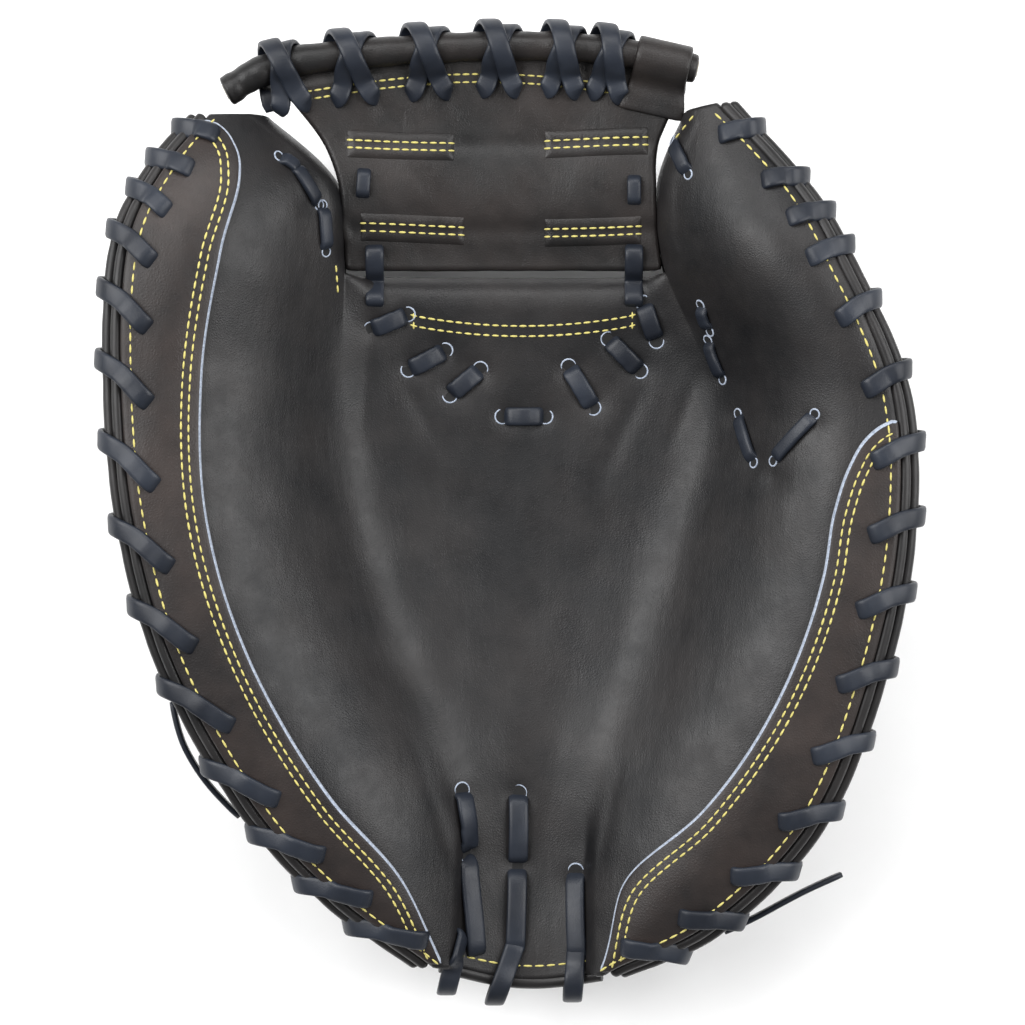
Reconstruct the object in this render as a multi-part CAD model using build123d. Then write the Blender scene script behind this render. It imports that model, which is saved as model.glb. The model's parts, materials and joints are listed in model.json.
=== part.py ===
from build123d import *

import math
import os

import numpy as np

# A catcher's mitt for the left hand, lying on its back with the palm up.  Millimetres.
# +X runs towards the finger side, +Y from the heel to the web, +Z out of the palm.
# The origin is on the table, below the middle of the mitt.

# ---------------------------------------------------------------- driving dimensions
MITT_WIDTH = 245.0        # across the rims, thumb side to finger side
MITT_LENGTH = 290.0       # heel to the top of the web
RIM_HEIGHT = 84.0         # table to the rim, where it stands highest
POCKET_HEIGHT = 44.0      # table to the edge of the pocket floor

LEATHER = 2.6             # shell leather
OVERLAY = 2.0             # outer panel sewn on top of the palm leather
LINING = 1.4              # soft leather against the hand
PALM_FELT = 7.0           # felt under the pocket
HEEL_FELT = 10.0          # felt block at the heel
SIDE_FELT = 25.0          # thickest part of the thumb and finger pads
SIDE_BULGE = 14.0         # how far each side's leather stands over a straight line
PALM_DISH = 4.0           # how far the pocket floor dips between its creases
HEEL_STEP = 5.0           # how far the heel leather lies below the sides beside it
WELT_RADIUS = 2.6         # the two rolled strips between the shells
LACE_WIDTH = 6.0
LACE_THICKNESS = 1.8
KNOT_RADIUS = 2.8
SEAT_GAP = 0.25           # clearance between layers that lie on each other
LACE_SEAT = 0.7           # clearance under a lace that is pulled over curved leather
BODY_GAP = 0.4            # clearance across a fold line
RIM_STACK = 16.5          # rim down to the edge of the back leather

WEB_LEATHER = 3.0
WEB_DROP = 6.0            # web's lower edge above the pocket floor's edge
WEB_RISE = 6.0            # how much higher the web's upper edge lies
ROLL_RADIUS = 4.6         # leather roll along the web's top edge
ROLL_CORE_RADIUS = 2.6    # cord inside the roll

STRAP_WIDTH = 38.0        # wrist strap, along Y
STRAP_LEATHER = 2.6
HOOK_PATCH = 1.2          # each half of the hook-and-loop fastening
TAB_LENGTH = 44.0         # free end that folds back under the strap
FLEECE = 5.0              # pad between the strap and the wrist
RING_WIRE = 1.25          # wire radius of the steel ring
RING_THROAT = 13.0        # inside of the ring, across its two bars
TABLE_CLEARANCE = 1.2     # table to the strap's free end
INDEX_HOLE = 24.0         # diameter of the index finger's hole
STALL_LOOP = 16.0         # width of the loops that hold the thumb and the little finger

WIDE = MITT_WIDTH / 245.0
LONG = MITT_LENGTH / 290.0

# ---------------------------------------------------------------- stations along each side
# From the heel to the tip: inner edge x, y and height over the pocket's edge, rim x, y and
# drop below the highest rim, share of the full bulge, height of the back leather at the
# inner edge, and height of the lowest line of the back leather.
THUMB_STATIONS = [
    (-17.5, -138, 9, -27.5, -138.0, 30, 0.15, 34, 32),
    (-16, -110, 7, -55.0, -117.9, 21, 0.55, 19, 18),
    (-17, -80, 4, -80.6, -89.5, 13, 0.85, 13, 12),
    (-34, -42, 1, -104.3, -46.4, 5, 0.95, 4, -0.8),
    (-47, 0, 0, -116.5, -2.0, 1, 1.0, 8, -1.2),
    (-51.5, 40, 3, -120.2, 43.7, 0, 1.0, 20, -1.2),
    (-51, 75, 10, -117.9, 81.0, 1, 0.95, 30, 1),
    (-53, 100, 14, -107.5, 103.9, 7, 0.65, 37, 14),
    (-74, 120, 18, -95.1, 119.5, 15, 0.15, 46, 44),
]
FINGER_STATIONS = [
    (23.5, -140, 9, 31.0, -140.4, 30, 0.15, 34, 32),
    (23.5, -110, 7, 61.6, -126.3, 21, 0.55, 19, 18),
    (27, -80, 4, 91.7, -95.0, 13, 0.85, 13, 12),
    (40, -42, 1, 108.9, -53.1, 5, 0.95, 4, -0.8),
    (53, 0, 0, 118.2, -8.3, 1, 1.0, 8, -1.2),
    (60, 38, 3, 116.8, 35.7, 0, 1.0, 20, -1.2),
    (46, 75, 10, 100.2, 75.5, 1, 0.95, 30, 1),
    (44, 100, 14, 87.7, 97.4, 7, 0.65, 37, 14),
    (52, 121, 18, 65.0, 123.5, 15, 0.15, 46, 44),
]
# Share of the way from inner edge to rim at which each outer panel starts.
THUMB_SEAM = [0.40, 0.42, 0.60, 0.637, 0.645, 0.607, 0.545, 0.53, 0.50]
FINGER_SEAM = [0.38, 0.25, 0.49, 0.62, 0.657, 0.78]
SOLE = 0.8                # how softly the back leather flattens where it rests
KEEL = 0.42               # share of the way out at which the back leather hangs lowest
RIM_INSET = 9.0           # rim to the edge of the front leather, which leaves room for welts


def through(rows, share):
    """Smooth line through evenly spaced rows, at a share of its length from 0 to 1."""
    rows = np.asarray(rows, float)
    place = share * (len(rows) - 1)
    k = min(int(place), len(rows) - 2)
    t = place - k
    a, b = rows[max(k - 1, 0)], rows[k]
    c, d = rows[k + 1], rows[min(k + 2, len(rows) - 1)]
    return 0.5 * (2 * b + (c - a) * t + (2 * a - 5 * b + 4 * c - d) * t**2
                  + (3 * b - a - 3 * c + d) * t**3)


def spot(x, y, z=0.0):
    """A place in plan that follows the mitt's overall size."""
    return np.array([x * WIDE, y * LONG, z])


def station(rows, s):
    """Inner point, rim point, bulge, back height at the inner edge and keel height."""
    xi, yi, up, xo, yo, drop, bulge, back_in, keel = through(rows, s)
    inner = spot(xi, yi, POCKET_HEIGHT + up)
    outer = spot(xo, yo, RIM_HEIGHT - drop)
    return inner, outer, bulge * SIDE_BULGE, back_in, keel


def span(rows, s):
    inner, outer, *_ = station(rows, s)
    return float(np.linalg.norm((outer - inner)[:2]))


def inset(rows, s):
    """Rim to front leather, which narrows with the side at the heel and the tip."""
    return RIM_INSET * math.tanh(0.5 * span(rows, s) / RIM_INSET)


def front(rows, s, v):
    """Point on the outside of the front leather, v from the inner edge to the rim."""
    inner, outer, bulge, _, _ = station(rows, s)
    point = inner + (outer - inner) * v
    point[2] += bulge * math.sin(math.pi * v)
    return point


def back(rows, s, v):
    """Point on the outside of the back leather."""
    inner, outer, _, back_in, keel = station(rows, s)
    point = inner + (outer - inner) * v
    rim = outer[2] - RIM_STACK
    if v < KEEL:
        point[2] = keel + (back_in - keel) * (1 - v / KEEL) ** 2
    else:
        point[2] = keel + (rim - keel) * ((v - KEEL) / (1 - KEEL)) ** 2
    point[2] = (point[2] + math.hypot(point[2], SOLE)) / 2
    return point


def back_slope(rows, s, v):
    """Rise of the back leather for each millimetre outwards."""
    step = 0.004
    rise = back(rows, s, min(v + step, 1))[2] - back(rows, s, max(v - step, 0))[2]
    return rise / (2 * step * span(rows, s))


def raised(point, lift):
    return np.array([point[0], point[1], point[2] + lift])


def outwards(rows, s):
    inner, outer, *_ = station(rows, s)
    flat = np.array([outer[0] - inner[0], outer[1] - inner[1], 0])
    return flat / np.linalg.norm(flat)


def share_at(rows, s, from_rim):
    return 1 - from_rim / span(rows, s)


def off_back(rows, s, from_rim, clear):
    """Point outside the back leather, given its distance in from the rim."""
    v = share_at(rows, s, from_rim)
    slope = back_slope(rows, s, v)
    normal = outwards(rows, s) * slope - np.array([0, 0, 1.0])
    return back(rows, s, v) + normal / np.linalg.norm(normal) * clear


def height_at(make, x, y):
    """Height of the surface make(s, w) where it passes a place in plan."""
    low, high = np.zeros(2), np.ones(2)
    for _ in range(5):
        trials = [(s, w, make(s, w)) for s in np.linspace(low[0], high[0], 9)
                  for w in np.linspace(low[1], high[1], 9)]
        s, w, point = min(trials, key=lambda t: math.hypot(t[2][0] - x, t[2][1] - y))
        reach = (high - low) / 5
        low = np.clip([s - reach[0], w - reach[1]], 0, 1)
        high = np.clip([s + reach[0], w + reach[1]], 0, 1)
    return float(point[2])


# ---------------------------------------------------------------- solids between two surfaces
def surface(make, s_range, n_s, n_w):
    grid = [[tuple(make(s, w)) for w in np.linspace(0, 1, n_w)]
            for s in np.linspace(*s_range, n_s)]
    return Face.make_surface_from_array_of_points(grid, tol=0.005)


def slab(upper, lower, s_range=(0, 1), n_s=33, n_w=13):
    """Closed solid between two surfaces that share one plan."""
    top = surface(upper, s_range, n_s, n_w)
    bottom = surface(lower, s_range, n_s, n_w)
    walls = []
    for edge in top.edges():
        middle = edge.position_at(0.5)
        under = min(bottom.edges(), key=lambda e: (e.position_at(0.5) - middle).length)
        walls.append(Face.make_surface_from_curves(edge, under))
    return Solid(Shell([top, bottom, *walls]))


def tube(line, radius):
    """Round bar along a smooth line of points."""
    rings = []
    for k, point in enumerate(line):
        ahead = line[min(k + 1, len(line) - 1)] - line[max(k - 1, 0)]
        plane = Plane(origin=tuple(point), z_dir=tuple(ahead))
        rings.append((plane * Circle(radius)).wire())
    return Solid.make_loft(rings)


def strap_along(path, across, width, thickness):
    """Flat strap bent in one plane, with its width along the vector across."""
    path = [np.asarray(p, float) for p in path]
    along = [path[min(k + 1, len(path) - 1)] - path[max(k - 1, 0)] for k in range(len(path))]
    across = np.asarray(across, float) / np.linalg.norm(across)
    turns = [np.cross(along[0], a) for a in along[1:]]
    plane = max(turns, key=np.linalg.norm)
    if np.linalg.norm(plane) < 1e-6:
        plane = across
    near, far = [], []
    for point, ahead in zip(path, along):
        normal = np.cross(ahead, plane)
        normal *= thickness / 2 / np.linalg.norm(normal)
        near.append(point + normal)
        far.append(point - normal)
    outline = near + far[::-1]
    ends = [Wire.make_polygon([tuple(p + across * side * width / 2) for p in outline])
            for side in (-1, 1)]
    return Solid.make_loft(ends, ruled=True)


def laid_lace(make, start, end, width=LACE_WIDTH):
    """Short straight run of lace on a surface, between two places in plan."""
    start, end = spot(*start), spot(*end)
    side = np.cross(end - start, (0, 0, 1))
    side *= width / 2 / np.linalg.norm(side)
    heights = {(a, b): height_at(make, *(start + (end - start) * a + side * b)[:2])
               for a in (0, 0.5, 1) for b in (-1, 0, 1)}
    rise = (sum(heights[a, 1] for a in (0, 0.5, 1)) - sum(heights[a, -1] for a in (0, 0.5, 1))) / 3
    ends = [max(heights[a, b] - b * rise / 2 for b in (-1, 0, 1)) for a in (0, 1)]
    sag = max(heights[0.5, b] - b * rise / 2 for b in (-1, 0, 1)) - (ends[0] + ends[1]) / 2
    steep = math.hypot(1, rise / width)
    lift = (LACE_THICKNESS / 2 + LACE_SEAT) * steep + max(sag, 0)
    run = [raised(start, ends[0] + lift), raised(end, ends[1] + lift)]
    return strap_along(run, raised(2 * side, rise), width * steep, LACE_THICKNESS)


def block(low, high):
    """Box between two corners."""
    size = np.subtract(high, low)
    return Pos(*np.add(low, size / 2)) * Box(*size)


# ---------------------------------------------------------------- the padded sides
PAD_RANGE = (0.04, 0.95)
PAD_CREASE = 2.5          # pad's distance from the fold line


def between(rows, s, w, from_crease, from_rim):
    """Share of the way out, w of the way between two distances in from the edges."""
    wide = span(rows, s)
    low = from_crease * math.tanh(0.3 * wide / from_crease) / wide
    return low + (1 - from_rim / wide - low) * w


def on_front(rows, s, w, drop=0.0):
    v = between(rows, s, w, BODY_GAP, inset(rows, s))
    return raised(front(rows, s, v), -drop)


def front_leather(rows):
    return slab(lambda s, w: on_front(rows, s, w),
                lambda s, w: on_front(rows, s, w, LEATHER))


def pad_layer(rows, s, w, under_felt=None):
    """Top of the felt, or a depth under its lower side."""
    v = between(rows, s, w, PAD_CREASE, inset(rows, s) + 2)
    point = raised(front(rows, s, v), -LEATHER - SEAT_GAP)
    if under_felt is None:
        return point
    along = math.sin(math.pi * (0.06 + 0.88 * s)) ** 0.6
    depth = 3.0 + (SIDE_FELT - 3.0) * along * math.sin(math.pi * v) ** 0.8
    return raised(point, -depth - under_felt)


def side_pad(rows):
    return slab(lambda s, w: pad_layer(rows, s, w),
                lambda s, w: pad_layer(rows, s, w, 0), PAD_RANGE)


def side_lining(rows):
    return slab(lambda s, w: pad_layer(rows, s, w, SEAT_GAP),
                lambda s, w: pad_layer(rows, s, w, SEAT_GAP + LINING), PAD_RANGE)


def on_back(rows, s, w, thick=0.0):
    """Outside of the back leather, or a thickness inside it."""
    v = between(rows, s, w, BODY_GAP, 1.0)
    return raised(back(rows, s, v), thick * math.hypot(1, back_slope(rows, s, v)))


def back_leather(rows, holes):
    """Back shell of one side."""
    shell = slab(lambda s, w: on_back(rows, s, w, LEATHER),
                 lambda s, w: on_back(rows, s, w), n_w=21)
    for hole in holes:
        shell -= hole
    return shell


def overlay(rows, seam, s_end):
    """Outer panel on the front leather, from its seam to the rim."""
    def place(s, w, lift):
        start = float(through(seam, s / s_end))
        stop = 1 - inset(rows, s) / span(rows, s)
        return raised(front(rows, s, start + (stop - start) * w), lift)

    return slab(lambda s, w: place(s, w, SEAT_GAP + OVERLAY),
                lambda s, w: place(s, w, SEAT_GAP), (0.01, s_end), n_w=9)


WELT_PITCH = 1.56 * WELT_RADIUS


def welt_line(rows, row, s_range=(0.0, 1.0)):
    """Middle of the front welt (row 0) or the back welt (row 1)."""
    line = []
    for s in np.linspace(*s_range, 33):
        across = 1.12 * WELT_RADIUS + SEAT_GAP - inset(rows, s) + row * WELT_PITCH
        rim = station(rows, s)[1] + outwards(rows, s) * across
        line.append(raised(rim, -0.92 * WELT_RADIUS - row * WELT_PITCH))
    return line


def rim_wrap(rows, s):
    """One turn of the rim lace: front leather, round both welts, back leather."""
    outer = station(rows, s)[1]
    out = outwards(rows, s)
    edge = inset(rows, s)
    lift = LACE_THICKNESS / 2 + OVERLAY + SEAT_GAP + LACE_SEAT + 0.2
    path = [raised(front(rows, s, share_at(rows, s, edge + far)), lift)
            for far in (6, 2.5, 0)]
    for across, drop in ((4.4, -2.7), (8.9, 0.9), (11.7, 4.4), (12.2, 7.8), (11.0, 11.8)):
        path.append(raised(outer + out * (across - edge), -drop))
    # The back leather turns up sharply at the tip and at the heel.
    steep = max(s - 0.88, 0) / 0.07 + max(0.12 - s, 0) / 0.05
    clear = LACE_THICKNESS / 2 + LACE_SEAT + 1.3 * steep
    path += [off_back(rows, s, far, clear) for far in (1.4, 4.5, 8)]
    ahead = station(rows, min(s + 0.01, 1))[1] - station(rows, max(s - 0.01, 0))[1]
    return strap_along(path, ahead, LACE_WIDTH, LACE_THICKNESS)


def rim_lace(rows, count, s_range):
    return Compound(children=[rim_wrap(rows, s) for s in np.linspace(*s_range, count)])


def stall_loop(rows, s, v_low, v_high, depth):
    """Leather loop hanging from the lining, for one finger."""
    ends = []
    for v in (v_low, v_high):
        low = PAD_CREASE / span(rows, s)
        high = 1 - (inset(rows, s) + 2) / span(rows, s)
        w = (v - low) / (high - low)
        reach = STALL_LOOP / 2 / MITT_LENGTH
        near = [pad_layer(rows, s + ds, w + dw, SEAT_GAP + LINING)[2]
                for ds in (-reach, 0, reach) for dw in (-0.02, 0, 0.02)]
        point = pad_layer(rows, s, w, 0)
        ends.append(np.array([point[0], point[1], min(near) - SEAT_GAP]))
    run = ends[1] - ends[0]
    low_a, low_b = ends[0] + run * 0.12, ends[0] + run * 0.88
    low_a[2] = low_b[2] = min(ends[0][2], ends[1][2]) - depth
    flat = np.array([run[0], run[1], 0])
    return strap_along([ends[0], low_a, low_b, ends[1]], np.cross(flat, (0, 0, 1)),
                       STALL_LOOP, 2.0)


# Index finger's hole through the back of the finger side.
hole = back(FINGER_STATIONS, 0.53, 0.24)
INDEX_AT = (float(hole[0]), float(hole[1]))
index_hole = Pos(*INDEX_AT, 10) * Cylinder(INDEX_HOLE / 2, 60)

parts = {}
SIDES = {
    "thumb": (THUMB_STATIONS, THUMB_SEAM, 0.99, 14, 0.07, []),
    "finger": (FINGER_STATIONS, FINGER_SEAM, 0.60, 15, 0.086, [index_hole]),
}
for side, (rows, seam, seam_end, wraps, first, holes) in SIDES.items():
    parts[f"{side}_leather"] = front_leather(rows)
    parts[f"{side}_overlay"] = overlay(rows, seam, seam_end)
    parts[f"{side}_pad"] = side_pad(rows)
    parts[f"{side}_lining"] = side_lining(rows)
    parts[f"{side}_back"] = back_leather(rows, holes)
    parts[f"{side}_welt_front"] = tube(welt_line(rows, 0), WELT_RADIUS)
    parts[f"{side}_welt_back"] = tube(welt_line(rows, 1), WELT_RADIUS)
    parts[f"{side}_rim_lace"] = rim_lace(rows, wraps, (first, 0.95))

parts["thumb_loop"] = stall_loop(THUMB_STATIONS, 0.50, 0.30, 0.66, 22)
parts["little_finger_loop"] = stall_loop(FINGER_STATIONS, 0.42, 0.40, 0.74, 20)

# Laces that pull the side leathers in, each between two holes.
thumb_front = lambda s, w: on_front(THUMB_STATIONS, s, w)
finger_front = lambda s, w: on_front(FINGER_STATIONS, s, w)
parts["thumb_inner_lace"] = Compound(children=[
    laid_lace(thumb_front, (-69, 106), (-61, 98), 4.0),
    laid_lace(thumb_front, (-57.5, 92), (-57, 80), 4.0),
])
parts["finger_inner_lace"] = Compound(children=[
    laid_lace(finger_front, (60.5, 50), (64, 42), 4.0),
    laid_lace(finger_front, (69, 29), (72.5, 17), 4.0),
    laid_lace(finger_front, (79, 16), (90, 29), 4.0),
])
parts["finger_tip_lace"] = laid_lace(finger_front, (49.5, 112), (52.5, 103), 4.0)


# ---------------------------------------------------------------- the middle of the palm
def smooth(share):
    share = min(max(share, 0), 1)
    return share * share * (3 - 2 * share)


def palm_point(s, w, drop=0.0, trim=BODY_GAP):
    """Point on the palm leather, w from the thumb crease to the finger crease."""
    left = station(THUMB_STATIONS, s)[0] + np.array([trim, 0, 0])
    right = station(FINGER_STATIONS, s)[0] - np.array([trim, 0, 0])
    point = left + (right - left) * w
    point[1] -= 3.0 * math.sin(math.pi * w) * smooth(1 - s / 0.15)
    point[2] -= HEEL_STEP * smooth((0.30 - s) / 0.22)
    point[2] -= PALM_DISH * math.sin(math.pi * w) + drop
    return point


def palm_layer(top, bottom, s_range):
    return slab(lambda s, w: palm_point(s, w, top),
                lambda s, w: palm_point(s, w, bottom), s_range)


LIP = 0.738               # share of the stations at which the pocket's upper lip ends
HEEL_SPLIT = 0.26         # where the heel block ends and the pocket felt begins
INNER_LIP = LIP - 0.02
felt_top = LEATHER + SEAT_GAP
heel_under = felt_top + HEEL_FELT + SEAT_GAP
palm_under = felt_top + PALM_FELT + SEAT_GAP
parts["palm_leather"] = palm_layer(0, LEATHER, (0, LIP))
parts["heel_pad"] = palm_layer(felt_top, felt_top + HEEL_FELT, (0.03, HEEL_SPLIT - 0.004))
parts["palm_pad"] = palm_layer(felt_top, felt_top + PALM_FELT, (HEEL_SPLIT, INNER_LIP))
parts["heel_lining"] = palm_layer(heel_under, heel_under + LINING, (0.03, HEEL_SPLIT - 0.004))
parts["palm_lining"] = palm_layer(palm_under, palm_under + LINING, (HEEL_SPLIT, INNER_LIP))

# The back bridge joins the two back shells across the knuckles; the pocket's back leather
# rises from it to lie under the palm lining.
BRIDGE = (0.42, 0.53)


def bridge_point(s, w, lift):
    left = station(THUMB_STATIONS, s)
    right = station(FINGER_STATIONS, s)
    point = palm_point(s, w)
    point[2] = left[3] + (right[3] - left[3]) * w + lift
    return point


def pocket_back_point(s, w, lift):
    low = bridge_point(s, w, LEATHER + SEAT_GAP + LEATHER)[2]
    point = palm_point(s, w, palm_under + LINING + SEAT_GAP)
    share = smooth((s - BRIDGE[0] - 0.03) / 0.17)
    point[2] = low + (point[2] - low) * share + lift
    return point


parts["back_bridge"] = slab(lambda s, w: bridge_point(s, w, LEATHER),
                            lambda s, w: bridge_point(s, w, 0), BRIDGE)
parts["pocket_back"] = slab(lambda s, w: pocket_back_point(s, w, 0),
                            lambda s, w: pocket_back_point(s, w, -LEATHER),
                            (BRIDGE[0] + 0.01, INNER_LIP))

# Laces in the pocket's upper edge and down the heel.
POCKET_LACES = [
    ((-42, 56.5), (-33.5, 60)), ((-30.5, 44.5), (-22, 49)), ((-18, 37), (-11, 43)),
    ((-1.5, 29.5), (8.5, 29.5)), ((18, 43.5), (24, 33.5)), ((30.5, 52), (38, 44.5)),
    ((40.5, 62.5), (43.5, 54)),
]
parts["pocket_lace"] = Compound(children=[laid_lace(palm_point, *ends) for ends in POCKET_LACES])
HEEL_LACES = [
    ((1.5, -87), (1.5, -107)), ((1.0, -110), (0.5, -134)),
    ((-12, -104), (-11, -132)), ((18, -116), (19, -136)),
]
parts["heel_lace"] = Compound(children=[laid_lace(palm_point, *ends) for ends in HEEL_LACES])
heel_line = []
for share in np.linspace(0.02, 0.98, 17):
    place = palm_point(0, share, WELT_RADIUS)
    place[1] -= WELT_RADIUS + SEAT_GAP
    heel_line.append(place)
parts["heel_welt"] = tube(heel_line, WELT_RADIUS)

# ---------------------------------------------------------------- the web
WEB_LEFT = [(-49.6, 75), (-50.3, 88), (-51.3, 100), (-55.5, 112), (-63, 122), (-68, 128)]
WEB_RIGHT = [(44.0, 75), (42.5, 88), (42.0, 100), (42.5, 111), (46.5, 121), (51.0, 128)]
WEB_FOOT = 75.0
WEB_HEAD = 132.0


def web_height(x, y):
    """Top of the web leather over a place in plan."""
    t = (y / LONG - WEB_FOOT) / (WEB_HEAD - WEB_FOOT)
    swell = 3.0 * math.sin(math.pi * min(max(t / 0.78, 0), 1)) ** 2
    side = 2.0 * (x / WIDE / 50.0) ** 2
    return POCKET_HEIGHT + WEB_DROP + WEB_RISE * t + swell + side


def web_point(t, w, lift=0.0):
    left, right = spot(*through(WEB_LEFT, t)), spot(*through(WEB_RIGHT, t))
    point = left + (right - left) * w
    point[1] += 7.0 * t * math.sin(math.pi * w)
    point[2] = web_height(point[0], point[1]) + lift
    return point


parts["web_panel"] = slab(lambda t, w: web_point(t, w),
                          lambda t, w: web_point(t, w, -WEB_LEATHER))


def web_bar(y, reach):
    """Two stitched reinforcing strips, one at each side of the web."""
    strips = []
    for x_low, x_high in reach:
        def place(s, w, lift):
            x, y_at = (x_low + (x_high - x_low) * w) * WIDE, (y - 4 + 8 * s) * LONG
            return np.array([x, y_at, web_height(x, y_at) + lift])

        strips.append(slab(lambda s, w: place(s, w, SEAT_GAP + 1.4),
                           lambda s, w: place(s, w, SEAT_GAP), n_s=9, n_w=9))
    return Compound(children=strips)


parts["web_bar_upper"] = web_bar(112, ((-50, -18), (10, 41)))
parts["web_bar_lower"] = web_bar(86, ((-46, -15), (10, 39)))

ROLL_LINE = [(-87, 127.5), (-70, 136.0), (-35, 140.0), (0, 141.5), (30, 140.0), (56, 134.5)]


def roll_point(share):
    x, y = through(ROLL_LINE, share)
    return spot(x, y, POCKET_HEIGHT + WEB_DROP + WEB_RISE + 2.4)


roll_points = [roll_point(share) for share in np.linspace(0, 1, 25)]
parts["web_roll"] = tube(roll_points, ROLL_RADIUS) - tube(roll_points, ROLL_CORE_RADIUS + SEAT_GAP)
parts["web_roll_core"] = tube(roll_points, ROLL_CORE_RADIUS)


def roll_wrap(share, width, thickness, reach):
    """Strap round the roll with both ends on the web."""
    centre = roll_point(share)
    ahead = roll_point(min(share + 0.01, 1)) - roll_point(max(share - 0.01, 0))
    inwards = np.cross((0, 0, 1), ahead)
    inwards /= -np.linalg.norm(inwards) * np.sign(inwards[1])
    radius = ROLL_RADIUS + SEAT_GAP + thickness / 2
    clear = thickness / 2 + 2 * SEAT_GAP

    def beside(distance, under):
        at = centre + inwards * distance
        at[2] = web_height(at[0], at[1]) + (-WEB_LEATHER - clear if under else clear)
        return at

    path = [beside(reach, False), beside(ROLL_RADIUS + 3.6, False)]
    for angle in (130, 90, 50, 10, -30, -65, -95):
        turn = math.radians(angle)
        path.append(centre - inwards * radius * math.cos(turn) * 1.06
                    + np.array([0, 0, radius * 1.06 * math.sin(turn)]))
    path += [beside(ROLL_RADIUS + 3.0, True), beside(reach, True)]
    return strap_along(path, ahead, width, thickness)


ROLL_WRAPS = [0.22, 0.35, 0.48, 0.61, 0.74]
parts["web_top_lace"] = Compound(children=[
    roll_wrap(share, LACE_WIDTH, LACE_THICKNESS, 13) for share in ROLL_WRAPS])
parts["web_tab_finger"] = roll_wrap(0.885, 15, 2.0, 12)


def foot_lace(x):
    """Lace that ties the web's lower edge to the pocket's lip."""
    lip_y = palm_point(LIP, 0.5)[1]
    lip = height_at(palm_point, x * WIDE, lip_y)
    foot = web_height(x * WIDE, WEB_FOOT * LONG + 5)
    lift = LACE_THICKNESS / 2 + LACE_SEAT
    path = [(lip_y - 5, lip), (lip_y, lip), (WEB_FOOT * LONG, foot), (WEB_FOOT * LONG + 5, foot)]
    return strap_along([(x * WIDE, y, z + lift) for y, z in path], (1, 0, 0),
                       LACE_WIDTH, LACE_THICKNESS)


parts["web_foot_lace"] = Compound(children=[foot_lace(x) for x in (-42, 37)])
parts["web_side_lace"] = Compound(children=[
    laid_lace(web_point, (-45.5, 96), (-45, 104), 4.0),
    laid_lace(web_point, (37, 94), (37, 102), 4.0),
])

# ---------------------------------------------------------------- the wrist strap
STRAP_Y = -100.0 * LONG
TAB_TOP = TABLE_CLEARANCE + STRAP_LEATHER
LOOP_TOP = TAB_TOP + 2 * HOOK_PATCH + 0.75
STRAP_TOP = LOOP_TOP + SEAT_GAP + STRAP_LEATHER
FOLD_HEIGHT = (TABLE_CLEARANCE + STRAP_TOP) / 2
FOLD_OUTER = (STRAP_TOP - TABLE_CLEARANCE) / 2
FOLD_X = 36.0 * WIDE
STRAP_END = FOLD_X - FOLD_OUTER - 0.6


def strap_point(s, w, lift):
    """Outside of the wrist strap, which rises to the thumb side's back shell."""
    x = -52 * WIDE + (STRAP_END + 52 * WIDE) * w
    y = STRAP_Y + STRAP_WIDTH * (s - 0.5)
    rise = 0.5 * max((-24 * WIDE - x) / (28 * WIDE), 0) ** 2
    return np.array([x, y, STRAP_TOP - STRAP_LEATHER + rise + lift])


parts["wrist_strap"] = slab(lambda s, w: strap_point(s, w, STRAP_LEATHER),
                            lambda s, w: strap_point(s, w, 0), n_s=5, n_w=25)
half = STRAP_WIDTH / 2
parts["wrist_fleece"] = block(
    (-14 * WIDE, STRAP_Y - half + 1, STRAP_TOP + SEAT_GAP),
    (19 * WIDE, STRAP_Y + half - 1, STRAP_TOP + SEAT_GAP + FLEECE))
parts["loop_patch"] = block(
    (-18 * WIDE, STRAP_Y - half + 4, LOOP_TOP - HOOK_PATCH),
    (26 * WIDE, STRAP_Y + half - 4, LOOP_TOP))

tab_half = half - 2.0
turned = Rot(90, 0, 0) * (Cylinder(FOLD_OUTER, 2 * tab_half)
                          - Cylinder(FOLD_OUTER - STRAP_LEATHER, 2 * tab_half + 1))
turned = Pos(FOLD_X, STRAP_Y, FOLD_HEIGHT) * turned
turned -= block((FOLD_X - 20, STRAP_Y - half, -10), (FOLD_X, STRAP_Y + half, 30))
plate = block((FOLD_X - TAB_LENGTH, STRAP_Y - tab_half, TABLE_CLEARANCE),
              (FOLD_X, STRAP_Y + tab_half, TAB_TOP))
parts["strap_tab"] = plate + turned
parts["hook_patch"] = block(
    (FOLD_X - TAB_LENGTH + 3, STRAP_Y - half + 5, TAB_TOP),
    (FOLD_X - 12, STRAP_Y + half - 5, TAB_TOP + HOOK_PATCH))

# The steel ring: one bar inside the strap's fold, the other in the keeper.
ring_x = RING_THROAT + 2 * RING_WIRE
ring_y = STRAP_WIDTH + 2 * RING_WIRE + 1.0
ring_path = Pos(FOLD_X + ring_x / 2, STRAP_Y, FOLD_HEIGHT) * RectangleRounded(
    ring_x, ring_y, 3.5).wire()
ring_start = Plane(origin=ring_path @ 0, z_dir=ring_path % 0)
parts["strap_ring"] = sweep(ring_start * Circle(RING_WIRE), path=ring_path)

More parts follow.
